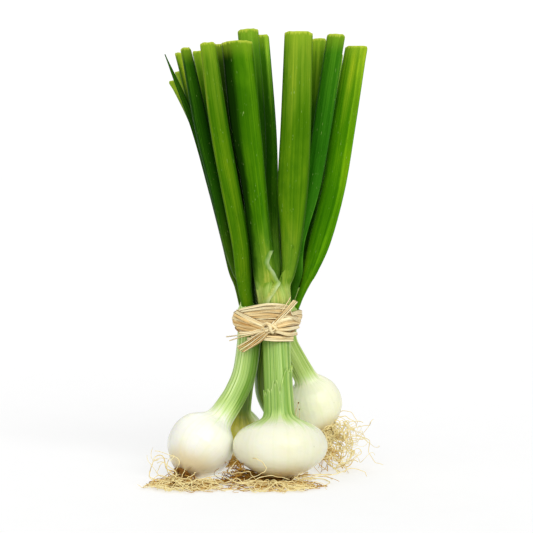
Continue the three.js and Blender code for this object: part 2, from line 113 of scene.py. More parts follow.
POINTED = "left_leaf_pointed"
FOLDED = "right_leaf_outer"
FOLD_AT, FOLD_HIGH = -0.62, 0.9
LEAF_FIELDS = ("name", "top", "depth", "twist", "slope", "look", "x", "y", "width")
LEAVES = [dict(zip(LEAF_FIELDS, row)) for row in (
    ("front_leaf_wide_left", 240.5, (5, 7), 3, 0.05, "olive",
     (-0.1, -0.7, -3.1, -6.8, -11.6, -16.2), (-11.7, -11.7, -11.7, -13, -15.5, -18),
     (11.2, 12.9, 11.9, 13.2, 16, 16)),
    ("front_leaf_wide_right", 245.5, (5, 6.4), -4, -0.03, "olive_bright",
     (9.4, 12, 13.7, 14.4, 15.9, 17.4), (-9.5, -9.8, -10.5, -13, -16.5, -20),
     (7.2, 8, 11.6, 16.7, 16.4, 15)),
    ("front_leaf_narrow", 246, (4.2, 5), 15, 0.04, "narrow", (4.2, 5, 3.6, 2.3, 1.2, -2.7),
     (-4.2, -3.4, -0.5, 4, 6, 8), (6.2, 7, 8, 8.8, 8.5, 8)),
    ("left_leaf_front", 239.4, (3.2, 5.2), 8, 0.06, "olive_left",
     (-12.2, -12.9, -14.6, -20, -26.2, -32.1), (-7.6, -8.6, -11, -14, -18, -22),
     (7.6, 8.8, 9.6, 10.4, 10.5, 8.6)),
    ("left_leaf_outer", 237.5, (3.2, 4.2), 12, 0.05, "dark",
     (-13, -16.8, -21.6, -27.8, -35.9, -44.6), (-2.2, -3.4, -4.5, -6.5, -8.5, -10),
     (4.4, 5, 6.6, 8, 8.4, 5.6)),
    ("left_leaf_inner", 248, (3.4, 6.4), -8, 0.08, "inner_bright",
     (-8.7, -8.4, -7.6, -6.4, -6.2, -10.4), (-2.6, -1.8, -1.9, -2.5, -3.8, -5),
     (4.2, 6, 10, 11.6, 11, 11.3)),
    ("left_leaf_pointed", 234.6, (2.4, 1.4), 20, 0, "dark",
     (-16.6, -19.8, -23.6, -31, -40.6, -56.7), (-1, 0.8, 1.8, 3, 2.4, 1.5),
     (2.6, 3, 3.6, 4.2, 4.6, 1.2)),
    ("back_left_leaf_inner", 237, (3.4, 4.6), -25, 0.05, "dark_bright_top",
     (-11.6, -13.4, -17.2, -22.5, -30.3, -38.3), (7, 6.2, 5.4, 5.5, 7, 10),
     (4.2, 5, 6, 7, 7.6, 7.6)),
    ("back_left_leaf_middle", 235.7, (3, 4), 25, -0.06, "dark_bright_top",
     (-13, -16, -21, -29, -38.5, -48.7), (11, 10.4, 9.4, 8.4, 7.4, 6), (3.2, 4.2, 5, 5.6, 6, 5.6)),
    ("back_left_leaf_outer", 220.4, (3, 3.6), -30, 0.1, "dark_bright_top",
     (-9.6, -12.8, -18.8, -28.5, -40.5, -53), (13.4, 13.8, 13.8, 13.8, 14, 14),
     (3.6, 4, 4.6, 5.4, 5.6, 5)),
    ("back_left_leaf_rear", 226.3, (3, 3.8), -40, 0.05, "dark_bright_top",
     (-5.8, -8.2, -14.5, -25, -37.5, -50), (12.2, 15, 18.4, 20.5, 22.4, 24),
     (3.4, 4, 4.8, 5.6, 6, 5.4)),
    ("back_leaf_left", 241, (4, 5), -15, 0.04, "shade", (0.2, -1.4, -5.2, -12.5, -19.5, -27),
     (11.6, 11.2, 10.8, 10.5, 11, 12), (4.2, 5, 6.8, 8, 8.6, 8.6)),
    ("back_leaf_middle", 243, (3.4, 6), -20, 0.03, "fresh", (3.4, 2.8, 1.2, -2, -5, -8),
     (16.2, 17.2, 19, 22, 25.5, 28), (4.2, 5, 7, 9, 10.4, 10)),
    ("back_leaf_right", 242, (3.6, 6), 15, -0.05, "fresh", (6, 6.8, 8.6, 11.5, 13.6, 16),
     (11.4, 12, 14, 18.5, 23, 28), (4.2, 5, 7, 9, 10, 10)),
    ("right_leaf_inner", 245, (3.8, 5.8), -6, -0.06, "bluish", (15.4, 17.2, 17.8, 25.2, 31, 38.4),
     (0.8, 0, -1.2, -4, -6.5, -8), (5.4, 6.2, 7.6, 9.6, 10.8, 10.6)),
    ("right_leaf_rear", 244, (3.6, 5.4), 20, 0.04, "dark_bright_top",
     (14.6, 16, 18.2, 22.6, 27, 29.4), (6.2, 6.6, 7.4, 8.2, 9, 10), (4.6, 5.4, 6.6, 8, 9, 9)),
    ("right_leaf_outer", 239.5, (4.8, 6.4), -8, -0.02, "vivid", (21, 24.6, 30.2, 37.8, 43.4, 50.6),
     (2.8, 3.2, 4, 4.5, 5, 6), (4.8, 8.2, 12.8, 13.6, 14, 12.8)),
    ("right_leaf_back", 236, (3, 5.2), 35, 0.06, "fresh", (18.8, 20.4, 24, 29.5, 34.5, 40),
     (7.6, 9.4, 12.6, 16, 20, 24), (3.4, 4.4, 6.4, 8, 8.6, 8)),
)]

# Leaf colours: at the tie, half way up and at the top, how strong the streaks are, then
# how light the blade is across its width, from its left edge to its right; this last is
# painted shade and light, darker where a blade turns away from the light or lies behind a
# neighbour and lighter where light falls on it

# Painted shade of a round blade: darker at both edges, where it turns away from the light.
ROUND_SHADE = [(0, 0.42), (0.14, 0.85), (0.45, 1.08), (0.82, 1.0), (1, 0.45)]

LEAF_LOOKS = {
    "olive": [(0.175, 0.315, 0.025), (0.046, 0.172, 0.001), (0.058, 0.20, 0.002), 1.0,
              [(0, 0.04), (0.20, 0.06), (0.38, 0.74), (0.54, 1.0), (0.74, 1.3),
               (0.93, 1.2), (1, 0.5)]],
    "olive_bright": [(0.175, 0.315, 0.022), (0.084, 0.215, 0.003), (0.22, 0.38, 0.018), 0.65,
                     [(0, 0.35), (0.12, 0.62), (0.34, 0.95), (0.7, 1.1), (0.93, 1.0),
                      (1, 0.45)]],
    "olive_left": [(0.058, 0.17, 0.002), (0.068, 0.192, 0.002), (0.23, 0.38, 0.016), 0.9,
                   [(0, 0.5), (0.16, 1.05), (0.6, 1.0), (0.86, 0.72), (1, 0.32)]],
    "dark": [(0.055, 0.13, 0.004), (0.010, 0.066, 0.001), (0.024, 0.11, 0.002), 0.6,
             [(0, 0.8), (0.16, 0.8), (0.18, 3.4), (0.205, 0.8), (0.25, 0.9), (0.27, 3.0),
              (0.295, 0.9), (0.42, 1.2), (0.75, 0.95), (1, 0.35)]],
    # Painted shade low down, where these leaves lie behind others, and a lighter top.
    "dark_bright_top": [(0.035, 0.11, 0.003), (0.020, 0.095, 0.001), (0.22, 0.40, 0.014),
                        0.8, ROUND_SHADE],
    # Painted shade all along: this leaf shows only in the shade between others.
    "shade": [(0.02, 0.06, 0.002), (0.005, 0.030, 0.0006), (0.02, 0.06, 0.003), 0.6, ROUND_SHADE],
    "fresh": [(0.05, 0.15, 0.004), (0.030, 0.14, 0.0015), (0.12, 0.34, 0.012), 0.8,
              [(0, 0.28), (0.50, 0.55), (0.60, 1.7), (0.88, 1.9), (1, 1.0)]],
    # Painted shade low down, where this leaf lies behind the front leaves.
    "inner_bright": [(0.012, 0.05, 0.001), (0.016, 0.08, 0.001), (0.17, 0.41, 0.02), 0.8,
                     [(0, 0.6), (0.2, 1.0), (0.8, 1.1), (1, 0.6)]],
    "bluish": [(0.02, 0.09, 0.002), (0.027, 0.16, 0.004), (0.066, 0.24, 0.007), 0.8,
               [(0, 0.6), (0.2, 1.0), (0.6, 1.15), (0.9, 0.95), (0.965, 0.85), (1, 2.0)]],
    "vivid": [(0.060, 0.21, 0.0015), (0.057, 0.215, 0.0010), (0.155, 0.34, 0.006), 0.8,
              [(0, 0.6), (0.2, 1.1), (0.55, 1.1), (0.68, 0.9), (0.74, 1.7), (0.94, 1.55),
               (1, 1.1)]],
    "narrow": [(0.15, 0.40, 0.02), (0.018, 0.10, 0.001), (0.10, 0.29, 0.008), 0.8,
               [(0, 0.5), (0.54, 0.85), (0.66, 2.0), (0.9, 2.2), (1, 1.0)]],
}


# The leaves whose base is still the pale sheath of the neck

SHEATHED = ("olive", "olive_bright")


# Curves and small helpers

def smoothstep(low, high, x):
    t = np.clip((np.asarray(x, float) - low) / (high - low), 0, 1)
    return t * t * (3 - 2 * t)


def unit(v):
    v = np.asarray(v, float)
    return v / np.maximum(np.linalg.norm(v, axis=-1, keepdims=True), 1e-9)


def circle(sides):
    return np.linspace(0, TURN, sides, endpoint=False)


def turn_from(angle, at):
    """How far each angle is from at, the short way round."""
    return np.abs((angle - at + math.pi) % TURN - math.pi)


def stacked(*parts):
    return np.stack(np.broadcast_arrays(*parts), -1)


def any_phase(rng):
    return rng.uniform(0, 6.3)


def last_twice(rows):
    """Adds two more rows like the last, for the edge and the inside of a layer."""
    return np.concatenate([rows, rows[-1:], rows[-1:]])


def run_of(path):
    """The distance along a path of points, from its start."""
    return np.concatenate([[0], np.cumsum(np.linalg.norm(np.diff(path, axis=0), axis=1))])


def soften(path, times):
    for _ in range(times):
        path[1:-1] = 0.25 * path[:-2] + 0.5 * path[1:-1] + 0.25 * path[2:]


def add_object(name, data):
    made = bpy.data.objects.new(name, data)
    bpy.context.scene.collection.objects.link(made)
    return made


class Line:
    """A Catmull-Rom curve through points, with even tension and free ends."""

    def __init__(self, points):
        self.p = np.array(points, float)
        self.table_t = np.linspace(0, 1, 401)
        self.table_l = run_of(self.at(self.table_t))
        self.length = self.table_l[-1]

    def at(self, t):
        t = np.atleast_1d(np.asarray(t, float))
        p, n = self.p, len(self.p)
        x = (n - 1) * t
        i = np.clip(np.floor(x).astype(int), 0, n - 2)
        w = (x - i)[:, None]
        b, c = p[i], p[i + 1]
        a = np.where((i > 0)[:, None], p[np.maximum(i - 1, 0)], 2 * p[0] - p[1])
        d = np.where((i + 2 < n)[:, None], p[np.minimum(i + 2, n - 1)], 2 * p[-1] - p[-2])
        t0, t1 = 0.5 * (c - a), 0.5 * (d - b)
        return (b + t0 * w + (-3 * b + 3 * c - 2 * t0 - t1) * w ** 2
                + (2 * b - 2 * c + t0 + t1) * w ** 3)

    def tangent(self, t):
        t = np.atleast_1d(np.asarray(t, float))
        return unit(self.at(np.minimum(t + 1e-4, 1)) - self.at(np.maximum(t - 1e-4, 0)))

    def t_by_length(self, share):
        return np.interp(np.asarray(share, float) * self.length, self.table_l, self.table_t)


def ring_axes(direction):
    """Across and up, square to each direction, as the part's own rings have them."""
    across = unit(np.cross(np.array([0.0, 1.0, 0.0]), direction))
    return across, unit(np.cross(direction, across))


def around_noise(seed, count):
    """A smooth random value from -1 to 1 that closes round the circle."""
    values = np.random.default_rng(seed).uniform(-1, 1, count)

    def value(angle):
        x = np.asarray(angle, float) / TURN * count
        i = np.floor(x).astype(int)
        w = x - i
        w = w * w * (3 - 2 * w)
        return values[i % count] * (1 - w) + values[(i + 1) % count] * w

    return value


def grid_faces(rows, sides, closed=True, first=0):
    i = np.arange(rows - 1)[:, None]
    j = np.arange(sides if closed else sides - 1)[None, :]
    a = i * sides + j
    b = i * sides + (j + 1) % sides
    return np.stack([a, b, b + sides, a + sides], -1).reshape(-1, 4) + first


class Mesh:
    """Collects grids of points, with point attributes, and makes one object of them."""

    def __init__(self, vectors=("grain",), floats=()):
        self.vectors, self.floats = vectors, floats
        self.points, self.quads, self.tris, self.count = [], [], [], 0
        self.values = {name: [] for name in (*vectors, *floats)}

    def add(self, points, **values):
        points = np.asarray(points, float).reshape(-1, 3)
        first = self.count
        self.points.append(points)
        self.count += len(points)
        for name, kept in self.values.items():
            shape = (len(points), 3) if name in self.vectors else (len(points),)
            kept.append(np.broadcast_to(values[name], shape))
        return first

    def grid(self, points, closed=True, caps=(False, False), **values):
        """points is rows x sides x 3, turning outwards anticlockwise seen from its end."""
        rows, sides = points.shape[:2]
        flat = {}
        for name, value in values.items():
            width = (3,) if name in self.vectors else ()
            flat[name] = np.broadcast_to(value, (rows, sides, *width)).reshape(-1, *width)
        first = self.add(points, **flat)
        self.quads.append(grid_faces(rows, sides, closed, first))
        for row, wanted in ((0, caps[0]), (rows - 1, caps[1])):
            if wanted:
                part = slice(row * sides, (row + 1) * sides)
                middle = self.add(points[row].mean(0),
                                  **{k: v[part].mean(0) for k, v in flat.items()})
                a = first + row * sides + np.arange(sides)
                b = first + row * sides + (np.arange(sides) + 1) % sides
                pair = (a, b) if row else (b, a)
                self.tris.append(np.stack([np.full(sides, middle), *pair], -1))
        return first

    def build(self, name, material, node=None):
        mesh = bpy.data.meshes.new(name)
        mesh.from_pydata(((np.concatenate(self.points) + SHIFT) * MM).tolist(), [],
                         [face for part in self.quads + self.tris for face in part.tolist()])
        mesh.shade_smooth()
        for key, values in self.values.items():
            kind, field = (("FLOAT_VECTOR", "vector") if key in self.vectors
                           else ("FLOAT", "value"))
            layer = mesh.attributes.new(key, kind, "POINT")
            layer.data.foreach_set(field, np.concatenate(values).astype(np.float32).ravel())
        mesh.validate()
        piece = add_object(name, mesh)
        mesh.materials.append(material)
        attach(piece, "root")
        if node:
            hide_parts(node)


# Materials

class Shader:
    """A node material with short calls for the few node kinds that are used here."""

    def __init__(self, name):
        self.material = bpy.data.materials.new(name)
        self.material.use_nodes = True
        self.tree = self.material.node_tree
        self.tree.nodes.clear()
        out = self.tree.nodes.new("ShaderNodeOutputMaterial")
        self.bsdf = self.tree.nodes.new("ShaderNodeBsdfPrincipled")
        self.tree.links.new(self.bsdf.outputs[0], out.inputs["Surface"])

    def node(self, kind, inputs, **settings):
        """A new node; inputs go on its sockets by name or number, as sockets or values."""
        node = self.tree.nodes.new("ShaderNode" + kind)
        for name, value in settings.items():
            setattr(node, name, value)
        for key, value in inputs.items():
            self.put(node.inputs[key], value)
        return node

    def put(self, socket, value):
        if isinstance(value, bpy.types.NodeSocket):
            self.tree.links.new(value, socket)
        elif hasattr(value, "__len__") and len(value) == 3 and socket.type == "RGBA":
            socket.default_value = (*value, 1)
        else:
            socket.default_value = value

    def surface(self, **values):
        for name, value in values.items():
            self.put(self.bsdf.inputs[name.replace("_", " ")], value)

    def attribute(self, name, vector=False):
        node = self.node("Attribute", {}, attribute_type="GEOMETRY", attribute_name=name)
        return node.outputs["Vector" if vector else "Fac"]

    def noise(self, vector, round_scale, long_scale, detail, rough=0.5, distortion=0.0):
        """Noise with one scale round a piece and one along it."""
        scaled = self.node("VectorMath", {0: vector, 1: (round_scale, round_scale, long_scale)},
                           operation="MULTIPLY")
        return self.node("TexNoise", {"Vector": scaled.outputs[0], "Scale": 1.0,
                                      "Detail": detail, "Roughness": rough,
                                      "Distortion": distortion}).outputs[0]

    def span(self, value, low, high, to_low=0.0, to_high=1.0):
        return self.node("MapRange", {"Value": value, "From Min": low, "From Max": high,
                                      "To Min": to_low, "To Max": to_high},
                         interpolation_type="SMOOTHSTEP").outputs[0]

    def plus(self, a, b):
        return self.node("Math", {0: a, 1: b}, operation="ADD").outputs[0]

    def times(self, a, b):
        return self.node("Math", {0: a, 1: b}, operation="MULTIPLY").outputs[0]

    def mix(self, share, a, b, blend="MIX"):
        return self.node("Mix", {0: share, 6: a, 7: b}, data_type="RGBA",
                         blend_type=blend).outputs[2]

    def ramp(self, value, stops):
        node = self.node("ValToRGB", {0: value})
        elements = node.color_ramp.elements
        while len(elements) < len(stops):
            elements.new(0.5)
        for element, (place, colour) in zip(elements, stops):
            element.position = place
            element.color = (*colour, 1)
        return node.outputs[0]

    def tinted(self, colour, share, value, stops):
        """colour, times a ramp of value, by share."""
        return self.mix(share, colour, self.ramp(value, stops), "MULTIPLY")

    def bump(self, height, strength, distance):
        node = self.node("Bump", {"Strength": strength, "Distance": distance, "Height": height})
        self.put(self.bsdf.inputs["Normal"], node.outputs[0])


def leaf_material(look, name="", inside=(0.36, 0.52, 0.12)):
    base, middle, top, streaks, across = LEAF_LOOKS[look]
    s = Shader(f"leaf_{name or look}")
    grain = s.attribute("grain", vector=True)
    rise, tip, inner = s.attribute("rise"), s.attribute("tip"), s.attribute("inner")
    flank = s.attribute("flank")
    broad = s.noise(grain, 2.2, 0.09, 2, 0.55)
    fine = s.noise(grain, 12, 0.13, 3, 0.6)
    veins = s.noise(grain, 30, 0.12, 2, 0.5)
    patches = s.noise(grain, 1.3, 0.42, 4, 0.6, 0.4)
    half = tuple(0.45 * b + 0.55 * m for b, m in zip(base, middle))
    wander = s.plus(rise, s.span(broad, 0.3, 0.7, -0.05, 0.05))
    pale = (0.37, 0.51, 0.10) if look in SHEATHED else base
    grown = s.span(rise, 0.0, 0.3, 0.65, 1.0)
    depth = [s.times(grown, share) for share in (0.75 * streaks, 0.8 * streaks)]
    colour = s.ramp(wander, [(0.0, pale), (0.08, base), (0.32, half), (0.52, middle),
                             (0.82, middle), (1.0, top)])
    colour = s.tinted(colour, depth[0], broad, [
        (0.32, (0.50, 0.72, 0.5)), (0.5, (1, 1, 1)), (0.68, (1.60, 1.22, 1.5))])
    colour = s.tinted(colour, depth[1], fine, [
        (0.35, (0.58, 0.76, 0.6)), (0.5, (1, 1, 1)), (0.66, (1.42, 1.2, 1.8))])
    colour = s.tinted(colour, 0.4, veins, [(0.4, (0.66, 0.8, 0.6)), (0.56, (1.18, 1.1, 1.2))])
    colour = s.tinted(colour, 0.85, patches, [
        (0.34, (0.64, 0.78, 0.6)), (0.5, (1, 1, 1)), (0.66, (1.5, 1.18, 1.4))])
    # Painted shade and light across the blade, from its left edge to its right, weaker near its
    # base.
    edge = s.plus(flank, s.span(patches, 0.3, 0.7, -0.035, 0.035))
    edge = s.plus(edge, s.span(rise, 0.15, 0.8, 0.15, 0.0))
    stops = [(at, (f ** 1.15, f ** 0.76, f ** 1.5)) for at, f in across]
    colour = s.tinted(colour, s.span(rise, 0.0, 0.28, 0.3, 1.0), edge, stops)
    specks = s.noise(grain, 26, 5, 1, 0.4)
    colour = s.mix(s.span(specks, 0.73, 0.79, 0, 0.55), colour, (0.36, 0.50, 0.14))
    bruise = s.noise(grain, 9, 2.2, 2, 0.5)
    colour = s.mix(s.span(bruise, 0.70, 0.78, 0, 0.5), colour, (0.012, 0.045, 0.002))
    wobble = s.plus(tip, s.span(fine, 0.3, 0.7, -0.4, 0.4))
    colour = s.mix(s.span(wobble, 0.2, 6.0, 0.5, 0), colour, (0.27, 0.44, 0.02))
    colour = s.mix(s.span(wobble, 0.1, 1.0, 0.75, 0), colour, (0.58, 0.66, 0.07))
    colour = s.mix(inner, colour, inside)
    s.surface(Base_Color=colour, Roughness=s.span(fine, 0.3, 0.7, 0.48, 0.34),
              Specular_IOR_Level=0.11, Specular_Tint=(0.5, 0.85, 0.10))
    s.bump(s.plus(veins, s.times(fine, 1.6)), 0.4, 0.00025)
    return s.material


def bulb_material(name, white, deep, fresh, pale, rear=False):
    """White flesh with faint veins, striped green where the neck starts, tan below.

    With rear, the side facing the front gets dark olive painted shade and the back is paler.
    """
    s = Shader(name)
    grain = s.attribute("grain", vector=True)
    green, low, stripe = s.attribute("green"), s.attribute("low"), s.attribute("stripe")
    veins = s.noise(grain, 9, 0.06, 3, 0.6)
    hair = s.noise(grain, 30, 0.12, 2, 0.5)
    cloud = s.noise(grain, 1.1, 0.5, 3, 0.5)
    mottle = s.noise(grain, 4.5, 3.2, 2, 0.5, 0.5)
    colour = white
    # Painted shade: the side towards the bunch's front keeps the dark olive colour, the side behind
    # turns pale.
    if rear:
        backwards = s.node("SeparateXYZ", {0: grain}).outputs[1]
        behind = s.span(backwards, -0.85, -0.05)
        colour = s.mix(behind, white, (0.92, 0.93, 0.74))
    colour = s.mix(s.span(veins, 0.45, 0.72, 0, 0.3), colour, (0.90, 0.945, 0.80), "MULTIPLY")
    colour = s.mix(s.span(cloud, 0.42, 0.75, 0, 0.4), colour, (0.97, 0.93, 0.66), "MULTIPLY")
    # Tan towards the bottom: partly the skin's own colour, partly painted shade and warm bounce
    # light from the roots; darker brown still at the very bottom.
    tan = s.mix(s.span(cloud, 0.4, 0.7), (0.78, 0.66, 0.38), (0.86, 0.77, 0.50))
    low_tan_and_shade = s.plus(low, s.span(cloud, 0.3, 0.7, -0.10, 0.10))
    colour = s.mix(s.span(low_tan_and_shade, 0.05, 0.9, 0, 0.85), colour, tan)
    darkest_bottom = s.plus(low_tan_and_shade, s.span(hair, 0.3, 0.7, -0.03, 0.03))
    colour = s.mix(s.span(darkest_bottom, 0.92, 1.08, 0, 0.7), colour, (0.34, 0.19, 0.06))
    lines = s.noise(grain, 8.5, 0.035, 2, 0.55)
    thin = s.noise(grain, 17, 0.05, 2, 0.5)
    tone = s.plus(s.times(stripe, 0.45), s.times(lines, 0.62))
    stripes = s.ramp(tone, [(0.30, deep), (0.44, fresh), (0.60, fresh), (0.78, pale)])
    # Painted shade: darker neck stripes on the side towards the front.
    if rear:
        stripes = s.mix(behind, stripes,
                        s.ramp(tone, [(0.30, (0.11, 0.24, 0.03)), (0.5, (0.21, 0.39, 0.05)),
                                      (0.78, (0.42, 0.62, 0.15))]))
    stripes = s.tinted(stripes, 0.8, thin, [
        (0.33, (0.50, 0.66, 0.25)), (0.43, (0.95, 0.98, 0.9)),
        (0.58, (1.06, 1.04, 1.05)), (0.68, (1.5, 1.25, 1.9))])
    splay = s.plus(green, s.span(thin, 0.35, 0.65, 0.10, -0.10))
    turning = (0.56, 0.74, 0.24)
    # Painted shade: the green turns in darker on the side towards the front.
    if rear:
        turning = s.mix(behind, (0.20, 0.24, 0.02), turning)
    fading = s.mix(s.span(splay, 0.55, 1.05), turning, stripes)
    colour = s.mix(s.span(splay, 0.05, 0.68), colour, fading)
    blemish = s.noise(grain, 5, 2.4, 2, 0.5, 0.6)
    colour = s.mix(s.span(blemish, 0.72, 0.80, 0, 0.5), colour, (0.50, 0.44, 0.20))
    s.surface(Base_Color=colour, Roughness=s.span(green, 0, 1, 0.26, 0.42),
              Specular_IOR_Level=0.36, Subsurface_Weight=0.3, Subsurface_Scale=0.006,
              Subsurface_Radius=(1.0, 0.85, 0.4), Coat_Weight=0.12, Coat_Roughness=0.2)
    ridged = s.plus(s.times(lines, 1.4), s.times(hair, 0.3))
    s.bump(s.plus(ridged, s.times(mottle, 2.4)), 0.22, 0.0004)
    return s.material


def root_material():
    s = Shader("roots_dry")
    tint, share = s.attribute("tint"), s.attribute("share")
    grain = s.attribute("grain", vector=True)
    blotch = s.noise(grain, 0.9, 0.9, 3, 0.6)
    colour = s.ramp(s.plus(tint, s.span(blotch, 0.3, 0.7, -0.14, 0.14)),
                    [(0.0, (0.11, 0.038, 0.004)), (0.28, (0.32, 0.14, 0.014)),
                     (0.6, (0.64, 0.37, 0.062)), (1.0, (1.0, 0.88, 0.47))])
    # Painted shade: each root is darker near the plate, under its bulb.
    colour = s.mix(s.span(share, 0.0, 1.0, 0.85, 0), colour, (0.20, 0.085, 0.012))
    s.surface(Base_Color=colour, Roughness=0.55, Specular_IOR_Level=0.16)
    s.bump(s.noise(grain, 6, 2, 3, 0.6), 0.3, 0.0002)
    return s.material


def raffia_material():
    s = Shader("raffia_fibre")
    tint = s.attribute("tint")
    grain = s.attribute("grain", vector=True)
    fibre = s.noise(grain, 1.7, 0.035, 4, 0.65)
    hair = s.noise(grain, 4.5, 0.05, 3, 0.6)
    broad = s.noise(grain, 0.8, 0.06, 2, 0.5)
    colour = s.ramp(s.plus(tint, s.span(broad, 0.3, 0.7, -0.2, 0.2)),
                    [(0.0, (0.46, 0.215, 0.045)), (0.35, (0.78, 0.49, 0.17)),
                     (0.7, (0.98, 0.78, 0.40)), (1.0, (1.06, 0.95, 0.60))])
    colour = s.tinted(colour, 0.9, fibre, [
        (0.32, (0.42, 0.29, 0.15)), (0.44, (0.92, 0.86, 0.76)), (0.54, (1, 1, 1)),
        (0.66, (1.2, 1.2, 1.2))])
    colour = s.tinted(colour, 0.6, hair, [(0.36, (0.66, 0.54, 0.40)), (0.48, (1, 1, 1))])
    # Painted shade along the edges of each strip, where the strips meet and shade each other.
    colour = s.mix(s.span(s.attribute("rim"), 0.4, 0.95, 0, 0.85), colour,
                   (0.20, 0.095, 0.02))
    s.surface(Base_Color=colour, Roughness=0.5, Specular_IOR_Level=0.2, Sheen_Weight=0.05)
    s.bump(s.plus(fibre, s.times(hair, 0.4)), 0.7, 0.0005)
    return s.material


# Bulbs and necks

BULB_SIDES = 168
LAYER_SIDES = 180
BULB_ROWS = 84
NECK_ROWS = 66
TORN_LOW, TORN_OFF, TORN_ROWS = 31.0, 0.55, 34


def neck_radius(onion, z):
    widening = smoothstep(TIE_BOTTOM + 10, NECK_TOP, z)
    return onion["neck"] + (onion["top"] - onion["neck"]) * widening


def bulb_stations(onion, rows=BULB_ROWS, neck_rows=NECK_ROWS):
    """Distance along the axis, centre, direction and plain radius of each ring."""
    axis = onion["line"]
    outline = Line(BULB_OUTLINE).at(np.linspace(0, 1, rows))
    along = outline[:, 0] * onion["height"]
    rest = np.linspace(along[-1], axis.length, neck_rows + 1)[1:]
    along = np.concatenate([along, rest])
    fixed = np.concatenate([outline[:, 1] * onion["bulb"], np.zeros(neck_rows)])
    share = np.concatenate([outline[:, 2], np.ones(neck_rows)])
    t = axis.t_by_length(along / axis.length)
    centre, direction = axis.at(t), axis.tangent(t)
    upright = smoothstep(axis.length - 9, axis.length, along)[:, None]
    direction = unit(direction * (1 - upright) + np.array([0, 0, 1.0]) * upright)
    narrow = 1 - 0.5 * smoothstep(91, 98, centre[:, 2])
    return along, centre, direction, fixed + share * neck_radius(onion, centre[:, 2]) * narrow


class BulbSkin:
    """Surface of a bulb and its neck: round, with ridges that fade out over the shoulder."""

    def __init__(self, onion, seed):
        self.onion = onion
        self.ridges = [around_noise(seed + k, n) for k, n in enumerate((34, 34, 62, 62))]
        self.lumps = [around_noise(seed + 20 + k, 7) for k in range(2)]
        self.reach = around_noise(seed + 30, 54)
        self.along, self.centre, self.direction, self.radius = bulb_stations(onion)

    def stripe(self, angle, along):
        h = np.clip(along / self.onion["line"].length, 0, 1)
        a, b, c, d = (f(angle + 0.06 * along / 10) for f in self.ridges)
        return 0.62 * (a * (1 - h) + b * h) + 0.38 * (c * (1 - h) + d * h)

    def points(self, angle, along, off=0.0):
        """angle and along are arrays of one shape; the result adds a last axis of 3."""
        shape = np.shape(along)
        flat = np.ravel(along)
        centre, direction = (
            np.stack([np.interp(flat, self.along, of[:, k]) for k in range(3)], -1).reshape(
                *shape, 3) for of in (self.centre, self.direction))
        direction = unit(direction)
        radius = np.interp(flat, self.along, self.radius).reshape(shape)
        share = along / self.onion["height"]
        neckness = smoothstep(0.86, 1.18, share)
        ridge = self.stripe(angle, along)
        lump = (self.lumps[0](angle) * np.sin(share * 3.0)
                + self.lumps[1](angle) * np.cos(share * 2.2))
        radius = radius + off + 0.42 * neckness * ridge
        radius = radius + 0.22 * smoothstep(0.05, 0.4, share) * lump
        radius = radius + (0.05 * self.ridges[2](angle) * (1 - neckness)
                           * smoothstep(0.15, 0.5, share))
        across, up = ring_axes(direction)
        made = (centre + across * (radius * np.cos(angle))[..., None]
                + up * (radius * np.sin(angle))[..., None])
        made[..., 2] = np.maximum(made[..., 2], 0.0)
        return made

    def looks(self, angle, along):
        share = along / self.onion["height"]
        reach = 0.05 * self.reach(angle) + 0.05 * self.ridges[0](angle)
        green = smoothstep(*self.onion.get("fade", (0.73, 1.15)), share + reach)
        low = 1 - smoothstep(0.0, 0.36, share)
        grain = stacked(np.cos(angle), np.sin(angle), along / 10)
        side = np.cos(angle)
        # Painted shade on the neck: darker on its right and lighter on its left, or the other way
        # round when the value is below zero.
        side_shade = self.onion.get("side_shade", 0) * (smoothstep(-0.4, 1.0, side)
                                          - 0.5 * smoothstep(0.1, -0.9, side)) * green
        stripe = 0.5 + 0.5 * self.stripe(angle, along) - side_shade
        return dict(grain=grain, green=green, low=low, stripe=stripe)


def make_bulb(onion, skin, material):
    mesh = Mesh(floats=("green", "low", "stripe"))
    sides = onion.get("sides", BULB_SIDES)
    angle, along = np.broadcast_arrays(circle(sides)[None, :], skin.along[:, None])
    mesh.grid(skin.points(angle, along), caps=(True, True), **skin.looks(angle, along))
    mesh.build(f"{onion['name']}_bulb_skin", material, f"{onion['name']}_bulb")


def make_outer_skin(name, skin, material, rim):
    """A thin torn layer over the lower neck; rim gives its top edge at each angle."""
    mesh = Mesh(floats=("green", "low", "stripe"))
    angle = circle(LAYER_SIDES)[None, :]
    v = np.linspace(0, 1, TORN_ROWS)[:, None]
    along = TORN_LOW + (rim(angle) - TORN_LOW) * v
    angle = np.broadcast_to(angle, along.shape)
    rise = TORN_OFF * smoothstep(0, 0.5, v) + 0.5 * TORN_OFF * smoothstep(0.75, 1, v)
    outer = skin.points(angle, along, rise - 0.12 * (1 - smoothstep(0, 0.12, v)))
    lip = skin.points(angle[-1:], along[-1:] + 0.12, 1.5 * TORN_OFF - 0.2)
    inner = skin.points(angle[-1:], along[-1:] - 1.2, -0.2)
    points = np.concatenate([outer, lip, inner])
    alongs = last_twice(along)
    looks = skin.looks(last_twice(angle), alongs)
    # Painted highlight: paler and less green along the torn edge.
    rim_highlight = smoothstep(2.2, 0.4, alongs[-1:] - alongs)
    looks["stripe"] = np.clip(looks["stripe"] - 0.14 + 0.6 * rim_highlight, 0, 1)
    looks["green"] = looks["green"] - 0.1 * rim_highlight
    mesh.grid(points, **looks)
    mesh.build(name, material)


V_SPLIT = 4.84
torn = around_noise(SEEDS["torn"], 46)


def torn_rim(angle):
    """The torn top of the outermost layer on the front neck, lower on its left side."""
    turn = np.cos(angle - 0.2)
    notch = turn_from(angle, V_SPLIT)
    return 53 + 7 * turn + 2.6 * torn(angle) - 7 * np.exp(-(notch / 0.16) ** 2)


# Leaves

LEAF_VALUES = ("rise", "tip", "inner", "flank")
LEAF_SIDES = 72
LEAF_ROWS = 78
INNER_ROWS = 20
INNER_FROM, INNER_TO = 0.985, 0.5


